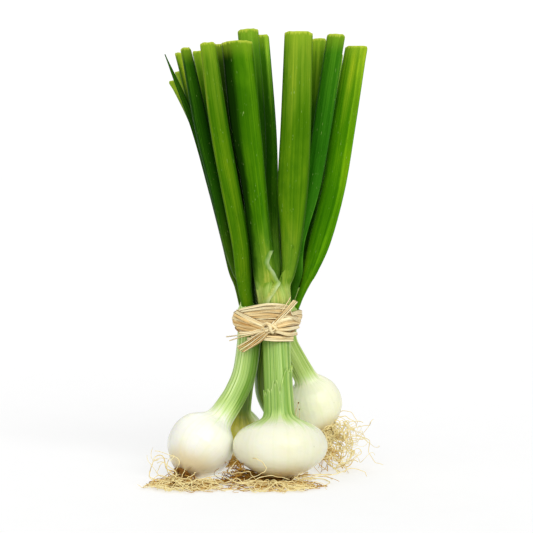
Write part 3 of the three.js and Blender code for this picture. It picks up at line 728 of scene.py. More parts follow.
class Leaf:
    """A hollow blade; below its own base it runs on down into the tie."""

    def __init__(self, spec, seed, onion):
        self.spec = spec
        heights = [STUB_Z, *LEAF_HEIGHTS, spec["top"]]
        base, top = spec["depth"]
        neck = [np.array([np.interp(z, onion["samples"][:, 2], onion["samples"][:, k])
                          for k in (0, 1)]) for z in (STUB_Z, NECK_TOP)]
        path = list(zip(spec["x"], spec["y"], spec["width"]))
        x, y, width = path[0]
        stub = [*(neck[0] + (np.array([x, y]) - neck[1]) * 0.85), width * 0.85]
        path = [stub, *path]
        self.last = len(path) - 1
        self.place = Line([[x, y, h] for (x, y, _), h in zip(path, heights)])
        self.size = Line([[w, base + (top - base) * max(0, i - 1) / (self.last - 1), 0]
                          for i, (_, _, w) in enumerate(path)])
        self.pointed = spec["name"] == POINTED
        self.folds = [around_noise(seed, 9), around_noise(seed + 1, 9)]
        self.ribs = around_noise(seed + 2, 40)
        self.edge = around_noise(seed + 3, 16)
        t = np.linspace(0, 1, 400)
        self.t_table, self.z_table = t, self.place.at(t)[:, 2]

    def t_at(self, z):
        return np.interp(z, self.z_table, self.t_table)

    def share(self, t):
        """Share of the blade above its own base."""
        return np.clip((np.asarray(t) * self.last - 1) / (self.last - 1), 0, 1)

    def rings(self, t, wall, sides=LEAF_SIDES):
        """Rows of points at shares t, drawn in by wall at each row."""
        t = np.atleast_1d(np.asarray(t, float))
        wall = np.broadcast_to(np.asarray(wall, float), t.shape)
        centre, size = self.place.at(t), self.size.at(t)
        angle = circle(sides)[None, :]
        turn = np.radians(self.spec["twist"]) * self.share(t)[:, None]
        rounded = [np.sign(f(angle)) * np.abs(f(angle)) ** SECTION_POWER
                   for f in (np.cos, np.sin)]
        width, depth = size[:, :1], size[:, 1:2]
        fold = self.folds[0](angle) * (1 - t[:, None]) + self.folds[1](angle) * t[:, None]
        keep = smoothstep(0.02, 0.2, t)[:, None]
        swell = keep * (0.030 * width * fold + 0.05 * self.ribs(angle))
        if self.spec["name"] == FOLDED:
            apart = turn_from(angle, FOLD_AT)
            swell = swell + keep * FOLD_HIGH * (np.exp(-(apart / 0.16) ** 2)
                                                - 0.55 * np.exp(-((apart - 0.42) / 0.2) ** 2))
        across = (width / 2 - wall[:, None] + swell) * rounded[0]
        back = (depth / 2 - wall[:, None] + swell) * rounded[1]
        x = across * np.cos(turn) - back * np.sin(turn)
        y = across * np.sin(turn) + back * np.cos(turn)
        z = np.zeros_like(x)
        if not self.pointed:
            near = smoothstep(0.965, 1.0, t)[:, None]
            corner = smoothstep(0.66, 1.0, np.abs(rounded[0]))
            z = near * (self.spec["slope"] * across + 0.16 * self.edge(angle) - 0.75 * corner)
        return centre[:, None, :] + np.stack([x, y, z], -1), np.broadcast_to(angle, x.shape)


def make_leaf(spec, material, seed, onion):
    leaf = Leaf(spec, seed, onion)
    mesh = Mesh(floats=LEAF_VALUES)
    length = leaf.place.length
    if leaf.pointed:
        t = np.linspace(0, 1, LEAF_ROWS) ** 0.9
        wall = smoothstep(0.93, 1.0, t) * 0.35
        inner = np.zeros(len(t))
    else:
        rim = 1 / length
        t = np.concatenate([
            np.linspace(0, 1 - 0.7 * rim, LEAF_ROWS), [1 - 0.3 * rim, 1 - 0.08 * rim, 1.0, 1.0],
            [1 - 0.1 * rim, 1 - 0.4 * rim, 1 - 1.5 * rim],
            np.linspace(INNER_FROM, INNER_TO, INNER_ROWS)])
        wall = np.concatenate([
            np.zeros(LEAF_ROWS), [0.03, 0.12, 0.26, LEAF_WALL - 0.25],
            [LEAF_WALL - 0.1, LEAF_WALL, LEAF_WALL], np.full(INNER_ROWS, LEAF_WALL)])
        inner = np.concatenate([np.zeros(LEAF_ROWS + 3), [0.5], np.ones(INNER_ROWS + 3)])
    points, angle = leaf.rings(t, wall)
    along = (t * length)[:, None]
    grain = stacked(np.cos(angle) * 0.6, np.sin(angle) * 0.6, along / 10 + seed * 3.0)
    mesh.grid(points, caps=(True, True), grain=grain, rise=leaf.share(t)[:, None],
              tip=(1 - t)[:, None] * length if not leaf.pointed else 20.0,
              inner=inner[:, None], flank=0.5 + 0.5 * np.cos(angle))
    mesh.build(f"{spec['name']}_blade", material, spec["name"])
    return leaf


# The front sheath, where the neck opens into its leaves, and its free edge

SHEATH_BOTTOM, SHEATH_TOP, SHEATH_LEVELS = 90.0, 124.0, 60
COLLAR_LOW, COLLAR_OFF, COLLAR_ROWS = 90.5, 0.35, 60
FLAP_WIDTH, FLAP_ROWS, FLAP_COLUMNS = 3.8, 90, 30
POLAR = 120
POLAR_ANGLES = circle(POLAR)


def hull_radius(points, centre):
    """Distance from centre to the tight outline round flat points, at each polar angle."""
    directions = np.stack([np.cos(POLAR_ANGLES), np.sin(POLAR_ANGLES)], -1)
    support = ((points - centre) @ directions.T).max(0)
    gap = POLAR_ANGLES[None, :] - POLAR_ANGLES[:, None]
    lean = np.cos(gap)
    reach = np.where(lean > 0.05, support[None, :] / np.maximum(lean, 0.05), np.inf)
    return reach.min(1)


class Sheath:
    """The closed outline, by height and angle, that wraps a neck and then its leaves."""

    def __init__(self, onion, leaves):
        self.z = np.linspace(SHEATH_BOTTOM, SHEATH_TOP, SHEATH_LEVELS)
        axis = onion["line"]
        path = axis.at(np.linspace(0, 1, 300))
        radii, centres = [], []
        for z in self.z:
            neck = np.array([np.interp(min(z, NECK_TOP), path[:, 2], path[:, k]) for k in (0, 1)])
            level = max(z, LEAF_BASE)
            ring = np.concatenate([leaf.rings(leaf.t_at(level), 0.0, 48)[0][0, :, :2]
                                   for leaf in leaves])
            middle = (ring.max(0) + ring.min(0)) / 2
            w = float(smoothstep(98, 106, z))
            centre = neck * (1 - w) + middle * w
            ends = neck + float(neck_radius(onion, min(z, NECK_TOP))) * np.stack(
                [np.cos(POLAR_ANGLES), np.sin(POLAR_ANGLES)], -1)
            a, b = hull_radius(ends, centre), hull_radius(ring, centre)
            if z < NECK_TOP + 1:
                b = np.maximum(b, a)
            radii.append(a * (1 - w) + b * w)
            centres.append(centre)
        self.radii = np.array(radii)
        for _ in range(3):
            self.radii = (0.25 * np.roll(self.radii, 1, -1) + 0.5 * self.radii
                          + 0.25 * np.roll(self.radii, -1, -1))
        soften(self.radii, 40)
        self.centres = np.array(centres)

    def points(self, angle, z, off):
        """angle, z and off are arrays of one shape."""
        shape = z.shape
        row = np.interp(z.ravel(), self.z, np.arange(len(self.z)))
        column = (angle.ravel() / TURN * POLAR) % POLAR
        r0, c0 = np.clip(row.astype(int), 0, len(self.z) - 2), column.astype(int) % POLAR
        wr, wc = row - r0, column - np.floor(column)
        c1 = (c0 + 1) % POLAR
        low = self.radii[r0, c0] * (1 - wc) + self.radii[r0, c1] * wc
        high = self.radii[r0 + 1, c0] * (1 - wc) + self.radii[r0 + 1, c1] * wc
        radius = low * (1 - wr) + high * wr + off.ravel()
        centre = self.centres[r0] * (1 - wr)[:, None] + self.centres[r0 + 1] * wr[:, None]
        made = np.stack([centre[:, 0] + radius * np.cos(angle.ravel()),
                         centre[:, 1] + radius * np.sin(angle.ravel()), z.ravel()], -1)
        return made.reshape(*shape, 3)


def blade_looks(blade, points):
    """How far up and across a blade each point lies, so that what covers it matches."""
    x, z = points[..., 0].ravel(), points[..., 2].ravel()
    t = blade.t_at(z)
    flank = 0.5 + (x - blade.place.at(t)[:, 0]) / blade.size.at(t)[:, 0]
    shape = points.shape[:-1]
    return dict(rise=blade.share(t).reshape(shape),
                flank=np.clip(flank, 0.2, 0.64).reshape(shape))


def make_collar(name, sheath, blade, material, rim, seed):
    """A thin closed sheath from inside the tie up to where it lies against the leaves."""
    mesh = Mesh(floats=LEAF_VALUES)
    ridge = around_noise(seed, 60)
    angle = circle(LAYER_SIDES)[None, :]
    v = np.linspace(0, 1, COLLAR_ROWS)[:, None]
    z = COLLAR_LOW + (rim(angle) - COLLAR_LOW) * v
    angle = np.broadcast_to(angle, z.shape)
    lift = COLLAR_OFF * (1 - smoothstep(0.3, 0.7, v)) - 1.1 * smoothstep(0.45, 1.0, v)
    lift = lift + 0.14 * ridge(angle) * (1 - v ** 2)
    outer = sheath.points(angle, z, np.broadcast_to(lift, z.shape))
    under = sheath.points(angle[-1:], z[-1:] - 0.1, lift[-1:] - 0.3)
    deep = sheath.points(angle[-1:], z[-1:] - 8, lift[-1:] - 0.4)
    angles, heights = last_twice(angle), last_twice(z)
    grain = stacked(np.cos(angles), np.sin(angles), heights / 10)
    points = np.concatenate([outer, under, deep])
    mesh.grid(points, grain=grain, tip=20.0, inner=0.0, **blade_looks(blade, points))
    mesh.build(name, material)


def front_of(outlines, x):
    """The y nearest the camera where outlines, closed flat polygons, cross each x."""
    found = np.full(len(x), np.inf)
    for flat in outlines:
        a, b = flat, np.roll(flat, -1, axis=0)
        for k, at in enumerate(x):
            cross = (a[:, 0] - at) * (b[:, 0] - at) <= 0
            cross &= np.abs(a[:, 0] - b[:, 0]) > 1e-9
            if cross.any():
                p, q = a[cross], b[cross]
                y = p[:, 1] + (q[:, 1] - p[:, 1]) * (at - p[:, 0]) / (q[:, 0] - p[:, 0])
                found[k] = min(found[k], y.min())
    return found


def make_flap(name, sheath, blades, material, edge_line, seed):
    """A thin skin that lies on the front of the first blade and reaches over the next."""
    mesh = Mesh(floats=LEAF_VALUES)
    rows, columns = FLAP_ROWS, FLAP_COLUMNS
    line = Line([[x, z, 0] for x, z in edge_line])
    places = line.at(line.t_by_length(np.linspace(0, 1, rows)))
    u = np.linspace(0, 1, columns)
    waver = around_noise(seed, 23)
    outer = np.zeros((rows, columns, 3))
    for r, (x_edge, z, _) in enumerate(places):
        outlines = [blade.rings(blade.t_at(z), 0.0, 96)[0][0, :, :2] for blade in blades]
        if z < 116:
            lift = 0.35 * (1 - float(smoothstep(103, 112, z)))
            outlines.append(sheath.points(POLAR_ANGLES[None, :], np.full((1, POLAR), z),
                                          np.full((1, POLAR), lift))[0, :, :2])
        left = outlines[0][:, 0].min() + 0.4
        x = x_edge + 0.2 * waver(r / rows * 6.2) - FLAP_WIDTH * u
        x = np.maximum(x, left)
        y = front_of(outlines, x)
        y = np.where(np.isfinite(y), y, y[np.isfinite(y)].min())
        for _ in range(3):
            y[1:-1] = np.minimum(y[1:-1], 0.5 * (y[:-2] + y[2:]))
        ends = smoothstep(0, 0.06, r / rows) * (1 - smoothstep(0.86, 1.0, r / rows))
        off = (0.45 * (1 - smoothstep(0.0, 0.9, u)) + 0.25 * np.exp(-(u / 0.10) ** 2)) * ends
        outer[r] = np.stack([x, y - off + 0.15 * smoothstep(0.8, 1, u), np.full(columns, z)], -1)
    inner = outer + np.array([0, 0.25, 0])
    v = np.linspace(0, 1, rows)[:, None]
    grain = outer / (11, 11, 10)
    film = (1 - smoothstep(0.05, 0.8, u)) * (0.42 + 0.18 * waver(v * 4 + 1.3))
    looks = dict(grain=grain, tip=20.0, inner=film, **blade_looks(blades[0], outer))
    flipped = {k: (a[:, ::-1] if hasattr(a, "shape") else a) for k, a in looks.items()}
    # x falls along a row, so the front sheet is turned to face the camera
    first = mesh.grid(outer[:, ::-1], closed=False, **flipped)
    second = mesh.grid(inner, closed=False, **looks)
    i = np.arange(rows - 1)
    for a, b in ((first, second), (second, first)):
        a = a + i * columns + columns - 1
        b = b + i * columns
        mesh.quads.append(np.stack([a, b, b + columns, a + columns], -1))
    j = np.arange(columns - 1)
    for row, turned in ((0, True), (rows - 1, False)):
        a = first + row * columns + j
        b = second + row * columns + columns - 1 - j
        quad = np.stack([a, a + 1, b - 1, b], -1)
        mesh.quads.append(quad[:, ::-1] if turned else quad)
    mesh.build(name, material)


# The free edge of the front sheath, as points of x and z

MEMBRANE = [(-0.6, 92.5), (1.4, 97.3), (4.6, 102.5), (7.6, 107.0), (6.9, 109.2), (4.2, 114.0),
            (1.7, 118.6), (2.4, 122.2), (3.9, 125.6)]
SHEATH_GAP = 5.08


def mouth(angle):
    """The top of the front sheath, lowest where its leaves part."""
    apart = turn_from(angle, SHEATH_GAP)
    return 116 - 10.5 * np.exp(-(apart / 0.36) ** 2)


# Tubes, for roots and threads

def tube(mesh, path, radius, sides, tint, share, seed):
    tangent = unit(np.gradient(path, axis=0))
    helper = np.where(np.abs(tangent[:, 2:]) > 0.9, [[1.0, 0, 0]], [[0, 0, 1.0]])
    side = unit(np.cross(helper, tangent))
    up = np.cross(tangent, side)
    angle = circle(sides)
    ring = (side[:, None] * np.cos(angle)[None, :, None]
            + up[:, None] * np.sin(angle)[None, :, None])
    points = path[:, None] + ring * radius[:, None, None]
    points[..., 2] = np.maximum(points[..., 2], 0.02)
    grain = stacked(ring[..., 0] + seed, ring[..., 1] + seed, run_of(path)[:, None] / 3)
    mesh.grid(points, caps=(True, True), grain=grain, tint=tint,
              share=np.asarray(share)[:, None])


# Roots

PLATE_SIDES, ROOT_SIDES, THREAD_SIDES = 48, 5, 7
ROOT_STEP = 1.1
ROOT_FRONT = -67.5
ROOT_LOW = 0.35
SINGLE_THICKNESS = (0.2, 0.23, 0.26)

# The root plate's rings, as heights along the axis and shares of its radius

PLATE = [(-0.1, 0.80), (-0.4, 0.94), (-1.0, 1.0), (-1.6, 0.9), (-2.1, 0.72), (-2.4, 0.4)]

# Each mat of roots: how many, how long, the middle and reach of the space they wind about
# in, how strongly they curl and their tint, kept low as painted shade for the mats that lie
# under the bulbs; some have their own level and spin as well

LEVEL_AND_SPIN = (0.9, (0.4, 0.4, 1.3))

MATS = {
    "front": [
        (80, (26, 56), (2, -49, 0.6), (20, 13, 1.7), 0.7, 0.42),
        (56, (20, 44), (-19, -39, 4.5), (7, 11, 6.5), 1, 0.22, 1, (0.8, 0.8, 1)),
        (30, (24, 54), (-12, -46, 1.2), (14, 16, 2.6), 0.8, 0.22),
        (52, (36, 70), (-3, -53, 1.4), (24, 10, 2.8), 0.6, 0.95),
        (12, (24, 52), (24, -36, 1.5), (16, 16, 3), 0.6, 0.95),
    ],
    "left": [
        (90, (26, 56), (-46, -48, 0.9), (14, 13, 2.2), 0.7, 0.42),
        (50, (24, 54), (-28, -48, 0.6), (14, 13, 1.7), 0.7, 0.36),
        (20, (16, 34), (-49, -41, 2.6), (8, 8, 2.6), 0.8, 0.22),
        (56, (32, 68), (-43, -51, 1.8), (17, 11, 3), 0.6, 0.95),
        (8, (26, 46), (-57, -46, 8), (7, 8, 12), 0.6, 0.95, 1, (1, 1, 1)),
    ],
    "right": [
        (46, (34, 80), (44, 6, 15), (12, 14, 13.5), 1.2, 1, 1, (1, 1, 1)),
        (14, (22, 50), (39, -6, 6), (12, 13, 8), 1, 0.5, 0.98, (0.8, 0.8, 1)),
        (10, (30, 60), (48, 0, 12), (16, 15, 14), 0.6, 1, 1, (1, 1, 1)),
    ],
    "back_left": [
        (90, (18, 48), (-22, 30, 1.2), (18, 18, 3), 0.66, 0.5),
    ],
    "back": [
        (90, (18, 50), (25, 47, 2), (16, 15, 5), 0.7, 0.55),
    ],
}


def wander(rng, start, way, length, middle, reach, curl, level, turns):
    """A root that leaves the plate and winds about inside its mat."""
    count = max(12, int(length / ROOT_STEP))
    path = np.zeros((count, 3))
    place, way = np.array(start, float), np.array(way, float)
    spin = rng.normal(size=3)
    noise = rng.normal(size=(count, 3)) * turns
    for k in range(count):
        path[k] = place
        spin = 0.94 * spin + 0.28 * noise[k]
        way = way + curl * 0.30 * np.cross(spin, way)
        away = (place - middle) / reach
        far = math.sqrt((away ** 2).sum())
        if far > 0.85:
            way = way - 0.9 * (far - 0.85) * unit(away * reach.min() / reach)
        way[2] *= level
        way = unit(way)
        place = place + way * ROOT_STEP
        if place[2] < ROOT_LOW:
            place[2] = ROOT_LOW
            way[2] = 0.15 * abs(way[2])
        if place[1] < ROOT_FRONT:
            place[1] = ROOT_FRONT
            way[1] = 0.3 * abs(way[1])
    soften(path, 2)
    return path


def push_out(points, margin):
    """Moves points that lie in a bulb or neck out to its surface."""
    for onion in ONIONS:
        along, centre, direction, radius = onion["stations"]
        apart = points[:, None, :] - centre[None, :, :]
        near = np.argmin((apart ** 2).sum(-1), axis=1)
        rel = apart[np.arange(len(points)), near]
        axial = (rel * direction[near]).sum(-1)
        distance = np.linalg.norm(rel, axis=1)
        inside = (distance < radius[near] + margin) & ~((near == 0) & (axial < 0))
        push = unit(rel) * (radius[near] + margin)[:, None] + centre[near]
        points = np.where(inside[:, None], push, points)
    return points


def make_roots(onion, material):
    seed = SEEDS["roots"] + ONIONS.index(onion)
    rng = np.random.default_rng(seed)
    mesh = Mesh(floats=("tint", "share"))
    axis = onion["line"]
    base, direction = axis.at(0)[0], axis.tangent(0)[0]
    across, up = ring_axes(direction)
    disc = onion["bulb"] * 0.3

    angle = circle(PLATE_SIDES)
    rows = []
    for along, share in PLATE:
        r = disc * share * (1 + 0.05 * around_noise(seed + 3, 19)(angle))
        ring = (base + direction * along + across * (r * np.cos(angle))[:, None]
                + up * (r * np.sin(angle))[:, None])
        ring[:, 2] = np.maximum(ring[:, 2], 0.05)
        rows.append(ring)
    rows = np.array(rows)[::-1]
    mesh.grid(rows, caps=(True, True), grain=rows / 4, tint=0.1, share=0.0)

    for mat in MATS[onion["name"]]:
        count, lengths, middle, spread, curl, shade, level, turns = (
            *mat, *LEVEL_AND_SPIN)[:8]
        middle, spread = np.array(middle, float), np.array(spread, float)
        for _ in range(count):
            turn = rng.uniform(0, TURN)
            spot = across * math.cos(turn) + up * math.sin(turn)
            start = base - direction * rng.uniform(0.4, 1.8) + spot * disc * rng.uniform(0.2, 0.9)
            goal = middle + spread * rng.uniform(-0.8, 0.8, 3)
            way = unit(unit(goal - start) - 0.5 * direction + 0.35 * rng.normal(size=3))
            reach = np.linalg.norm(goal - start)
            length = max(rng.uniform(*lengths), reach * 1.15)
            path = wander(rng, start, way, length, middle, spread, curl, level, turns)
            s = np.linspace(0, 1, len(path))
            phase = any_phase(rng)
            thick = rng.uniform(0.17, 0.37)
            radius = thick * (1.15 - 0.6 * s) * (1 + 0.12 * np.sin(17 * s + phase))
            path[3:] = push_out(path[3:], 0.4)
            path[:, 2] = np.maximum(path[:, 2], radius * 0.8)
            # Painted light and shade: roots lying higher, and those out in front of the bulbs, are
            # lighter; those under the bulbs stay dark.
            out_of_shade = (0.03 * np.clip(path[:, 2] - 1.5, -2, 6)
                        + 0.2 * smoothstep(-50, -62, path[:, 1]))
            tint = rng.normal(shade, 0.16) + 0.2 * (s - 0.5) + out_of_shade
            tube(mesh, path, radius, ROOT_SIDES, np.clip(tint, 0.14, 1)[:, None],
                 s * length / 9, rng.uniform(0, 50))
    for k, points in enumerate(SINGLE_ROOTS.get(onion["name"], [])):
        thick = SINGLE_THICKNESS[k % 3]
        t = np.linspace(0, 1, 30)
        path = Line(points).at(t)
        path = path + 0.25 * np.stack([np.sin(19 * t), np.cos(23 * t), np.sin(29 * t)], -1)
        path[:, 2] = np.maximum(path[:, 2], thick * 0.8)
        tube(mesh, path, thick * (1.15 - 0.5 * t), ROOT_SIDES, 0.9, 0.5 + 3 * t, thick * 40)
    mesh.build(f"{onion['name']}_roots_fine", material, f"{onion['name']}_roots")


# Dry fibres on the front bulb's shoulder: points and thickness

THREADS = [
    ([[15.2, -28.5, 31.5], [15.4, -27.6, 34.2], [16.3, -27.0, 38.5], [17.6, -26.6, 43.2]], 0.26),
    ([[17.4, -28.5, 30.6], [17.8, -27.8, 33.5], [18.2, -27.4, 36.5], [18.0, -27.2, 39.6]], 0.2),
]


def make_threads(material):
    """Dry fibres that stand up from the shoulder of the front bulb."""
    mesh = Mesh(floats=("tint", "share"))
    for points, thick in THREADS:
        t = np.linspace(0, 1, 26)
        path = Line(points).at(t)
        radius = thick * (1 - 0.4 * t) * (1 + 0.15 * np.sin(21 * t))
        radius = radius + 0.28 * np.exp(-((t - 1) / 0.05) ** 2)
        tint = np.where(t > 0.93, 0.02, 0.85)[:, None]
        tube(mesh, path, radius, THREAD_SIDES, tint, np.full(26, 0.6), thick * 90)
    mesh.build("front_neck_dry_threads", material)


# Single roots that stand out, each as its points

SINGLE_ROOTS = {
    "left": [
        [(-46.4, -40, 2.8), (-51.4, -46, 5), (-57.6, -50, 6.8), (-62.1, -50, 4.8),
         (-62.5, -49, 8.4), (-61.1, -47, 13.3), (-61.9, -46, 16.7), (-61.1, -45, 21.4)],
        [(-48.7, -38, 3.5), (-56.6, -48, 3.7), (-62.8, -49, 6), (-62, -48, 10), (-60.8, -46, 13.6),
         (-58.7, -44, 14.9), (-53.6, -41, 14.5)],
        [(-46.2, -46, 4.3), (-48.8, -47, 5.8), (-53.2, -48, 10), (-55.1, -48, 13.5),
         (-56.7, -48, 12.6), (-58.4, -49, 9.2), (-57.9, -50, 7)],
        [(-51.3, -48, 3.2), (-59.2, -50, 4.6), (-61.7, -52, 2.9), (-63.4, -53, 1.2),
         (-66, -53, 0.9), (-69, -52, 2.5)],
        [(-47.6, -48, 3.2), (-46, -50, 5), (-44.4, -47, 8), (-43.6, -45, 9.4)],
        [(-48.1, -49, 2.9), (-43.8, -50, 5), (-39.9, -48, 6.4), (-37.9, -45, 7.7)],
        [(-40.6, -50, 3.6), (-32.6, -50, 5.7), (-24.1, -48, 6), (-20.5, -50, 4.8),
         (-15.2, -52, 3.6), (-9, -53, 4.2), (-3.8, -53, 4.7)],
        [(-56.2, -54, 1.7), (-48.2, -56, 1), (-40.3, -56, 2), (-33.5, -56, 1.5), (-26.6, -57, 0.7)],
    ],
    "front": [
        [(-16.2, -44, 13.5), (-19.3, -46, 10.2), (-19.2, -50, 8), (-15.6, -52, 8.4),
         (-9.9, -53, 9.5), (-8.1, -53, 7.8), (-5.6, -54, 5.3)],
        [(-7.4, -50.5, 16.2), (-3.3, -52, 15.3), (-0.5, -53, 12), (-0.7, -54, 9.9), (-5, -55, 7.8),
         (-9.8, -55, 5.6)],
        [(-21.4, -52, 5.5), (-13.1, -55, 3.4), (-7.3, -55, 4.9), (-0.5, -55, 7.5), (5.3, -56, 7.4),
         (12.2, -56, 5.9)],
        [(19.7, -52, 9), (16.8, -54, 7.6), (12.7, -56, 4.5), (7.6, -56, 2.8)],
        [(-18.2, -55, 2.4), (-8.7, -57, 0.7), (0.8, -57, 1.7), (9.2, -58, 0.6), (19.2, -57, 1.4),
         (27.1, -57, 1.2)],
        [(17.8, -50, 3.6), (27.3, -46, 6.1), (33.3, -43, 5.9), (40.9, -40, 6.8), (45.2, -36, 8.1),
         (52.9, -35, 6.5), (54.6, -35, 3.8)],
        [(12.4, -52, 2.4), (20.3, -55, 2.1), (26.2, -53, 4.1), (30.4, -53, 2.5), (31.9, -56, 0.5)],
        [(-23.6, -52, 2.4), (-16.1, -52, 5.5), (-11.9, -54, 3.3), (-5.5, -56, 2), (0.8, -56, 3.6)],
    ],
    "right": [
        [(36.1, 14, 18.4), (41.6, 10, 17.4), (50.5, 8, 15.4), (55.4, 8, 20.9), (57.9, 9, 24.3),
         (61, 10, 28.6)],
        [(36.1, 15, 20), (40.5, 12, 19.3), (44.5, 12, 20.9), (53.6, 12, 24), (58.7, 12, 24.6),
         (60.4, 12, 27.8)],
        [(38.4, 16, 23.3), (39.2, 17, 27), (43.5, 17, 29.1), (47.8, 16, 27.8), (51.5, 15, 24),
         (48.6, 14, 20.2)],
        [(36.8, 17, 20.8), (40.8, 18, 28.1), (44.2, 18, 32.1), (49.1, 17, 30.7), (51.5, 16, 27.1),
         (51.1, 15, 24.2), (45.2, 14, 21.3)],
        [(39.4, 12, 17.1), (48.3, 8, 18.8), (57.6, 4, 17.8), (58, 0, 11.2), (60.7, -4, 6.4),
         (65.4, -6, 5)],
        [(36.8, 4, 11.6), (35.4, -4, 7.3), (39.7, -8, 5.2), (44.1, -10, 6.7), (47.5, -8, 10.2),
         (47.1, -4, 14)],
        [(35.6, 0, 7.8), (33.2, -2, 6.4), (38.5, -10, 3.9), (43.4, -12, 5.4), (49.6, -10, 9.5),
         (53.1, -6, 13.2)],
    ],
}


# Raffia

RIDGES = 7
WOUND_SAMPLES, WOUND_POINTS = 900, 120
WOUND_COUNT, LOOSE_COUNT = 32, 8
FIRST_TURN, TURN_STEP = 1.2, 0.35
FRONT_X = np.linspace(-math.pi, 0, 500)


def neck_places(z):
    """Centre, slant and radius of every neck at heights z."""
    rows = []
    for onion in ONIONS:
        path = onion["samples"]
        centre = np.stack([np.interp(z, path[:, 2], path[:, k]) for k in (0, 1)], -1)
        slant = np.interp(z, onion["slant_z"], onion["slant"])
        rows.append((centre, neck_radius(onion, z) * slant))
    return rows


def band_points(angle, z, off):
    out = np.stack([np.cos(angle), np.sin(angle)], -1)
    best = np.full(len(angle), -np.inf)
    made = np.zeros((len(angle), 3))
    for centre, radius in neck_places(z):
        reach = (centre * out).sum(-1) + radius
        better = reach > best
        best = np.where(better, reach, best)
        flat = centre + out * np.reshape(radius + TIE_GAP + off, (-1, 1))
        made[better] = np.concatenate([flat, z[:, None]], -1)[better]
    return made


def ribbon(mesh, path, outwards, width, thick, tint, seed):
    """A flat raffia strip along path, its broad face turned outwards."""
    rng = np.random.default_rng(seed)
    along = unit(np.gradient(path, axis=0))
    outwards = unit(outwards - (outwards * along).sum(-1, keepdims=True) * along)
    side = np.cross(along, outwards)
    run = run_of(path)
    u = np.linspace(-0.5, 0.5, RIDGES)
    crease = rng.uniform(-1, 1, (2, RIDGES))
    slow = 0.5 + 0.5 * np.sin(run / rng.uniform(9, 22) + any_phase(rng))[:, None]
    height = thick * (0.62 + 0.42 * (crease[0] * slow + crease[1] * (1 - slow)))
    height = height * (1 - (2 * u) ** 6 * 0.8)[None, :]
    front = (path[:, None] + side[:, None] * (u[None, :] * width[:, None])[..., None]
             + outwards[:, None] * height[..., None])
    v = u[::-2]
    back = (path[:, None] + side[:, None] * (v[None, :] * width[:, None] * 0.96)[..., None]
            - outwards[:, None] * thick * 0.35)
    points = np.concatenate([front, back], 1)
    crosswise = np.concatenate([u, v])[None, :] * width[:, None]
    grain = stacked(crosswise + seed * 7.3, seed * 1.7, run[:, None])
    # How near each point is to the strip's edge, where the painted shade goes.
    rim = np.abs(2 * np.concatenate([u, v])) ** 3
    mesh.grid(points[:, ::-1], caps=(True, True), grain=grain[:, ::-1], tint=tint,
              rim=rim[::-1])


def wound(mesh, sides, front, back, off, width, thick, tint, seed, turn):
    """A strip wound once round the necks, with its heights at the sides, front and back."""
    rng = np.random.default_rng(seed)
    raw = np.linspace(0, TURN, WOUND_SAMPLES) + turn
    facing = np.cos(raw + math.pi / 2)
    sway = rng.uniform(-0.45, 0.45) * np.sin(2 * raw + any_phase(rng))
    tilt = rng.uniform(-0.5, 0.5) * np.sin(raw + math.pi / 2)
    near, far = smoothstep(0, 0.35, facing), smoothstep(0, 0.35, -facing)
    z = np.full(WOUND_SAMPLES, sides)
    for _ in range(4):
        x = band_points(raw, z, off)[:, 0]
        arch = np.clip(1 - np.abs((x - 1.0) / 19) ** 2.6, 0, 1)
        z = sides + ((front - sides) * near + (back - sides) * far) * arch + sway + tilt
    side = 1 - smoothstep(0.3, 0.9, np.abs(facing))
    lift = (off + 0.25 * np.sin(3 * raw + any_phase(rng))
            + side * (0.9 * np.clip(1 - ((z - 87) / 5) ** 2, 0, 1) - 0.7))
    path = band_points(raw, z, lift)
    steps = run_of(path)
    at = np.linspace(0, steps[-1], WOUND_POINTS)
    path = np.stack([np.interp(at, steps, path[:, k]) for k in range(3)], -1)
    soften(path, 5)
    along = np.gradient(path, axis=0)
    outwards = np.cross(along, [0, 0, 1.0])
    roll = 0.26 * np.sin(at / 13 + any_phase(rng))[:, None]
    outwards = unit(outwards) + roll * np.array([0, 0, 1.0])
    vary = width * (1 + 0.16 * np.sin(at / 7.5 + any_phase(rng)))
    ribbon(mesh, path, outwards, vary, thick, tint, seed)


def strand(mesh, points, width, thick, tint, seed, count=46):
    """A strip over the front of the band, through points of x, z and lift in one row."""
    placed = []
    for x, z, off in np.reshape(points, (-1, 3)):
        height = np.full(len(FRONT_X), np.clip(z, TIE_BOTTOM, TIE_TOP))
        near = band_points(FRONT_X, height, 1.2 + off)
        order = np.argsort(near[:, 0])
        placed.append([x, np.interp(x, near[order, 0], near[order, 1]), z])
    line = Line(placed)
    t = line.t_by_length(np.linspace(0, 1, count))
    path = line.at(t)
    outwards = unit(np.stack([path[:, 0] * 0.035, -np.ones(count), np.zeros(count)], -1))
    rng = np.random.default_rng(seed)
    roll = 0.3 * np.sin(np.linspace(0, 4, count) + any_phase(rng))[:, None]
    outwards = unit(outwards + roll * np.array([0, 0, 1.0]))
    vary = width * (1 + 0.10 * np.sin(np.linspace(0, 7, count) + any_phase(rng)))
    ribbon(mesh, path, outwards, vary, thick, tint, seed)


def windings():
    """Wound strips: height at the sides, front and back, lift, width, thickness, tint."""
    rng = np.random.default_rng(SEEDS["windings"])
    made = []
    for k in range(WOUND_COUNT):
        w = k / (WOUND_COUNT - 1)
        made.append([81.8 + 8.6 * w, 77.4 + 18.9 * w, 78.4 + 14.0 * w,
                     0.2 + 0.6 * (k * 2 % 3) + rng.uniform(-0.1, 0.1), rng.uniform(0.8, 1.6),
                     rng.uniform(0.5, 0.75), rng.uniform(0.2, 0.95) + 0.4 * w ** 2])
    for _ in range(LOOSE_COUNT):
        side = rng.uniform(82.5, 89)
        made.append([side, side + rng.uniform(-5, 5), side + rng.uniform(-6, 6), 1.7,
                     rng.uniform(0.8, 1.4), 0.5, rng.uniform(0.5, 1.0)])
    return made


# Strips over the front: x, z and lift of four points, then width, thickness and tint

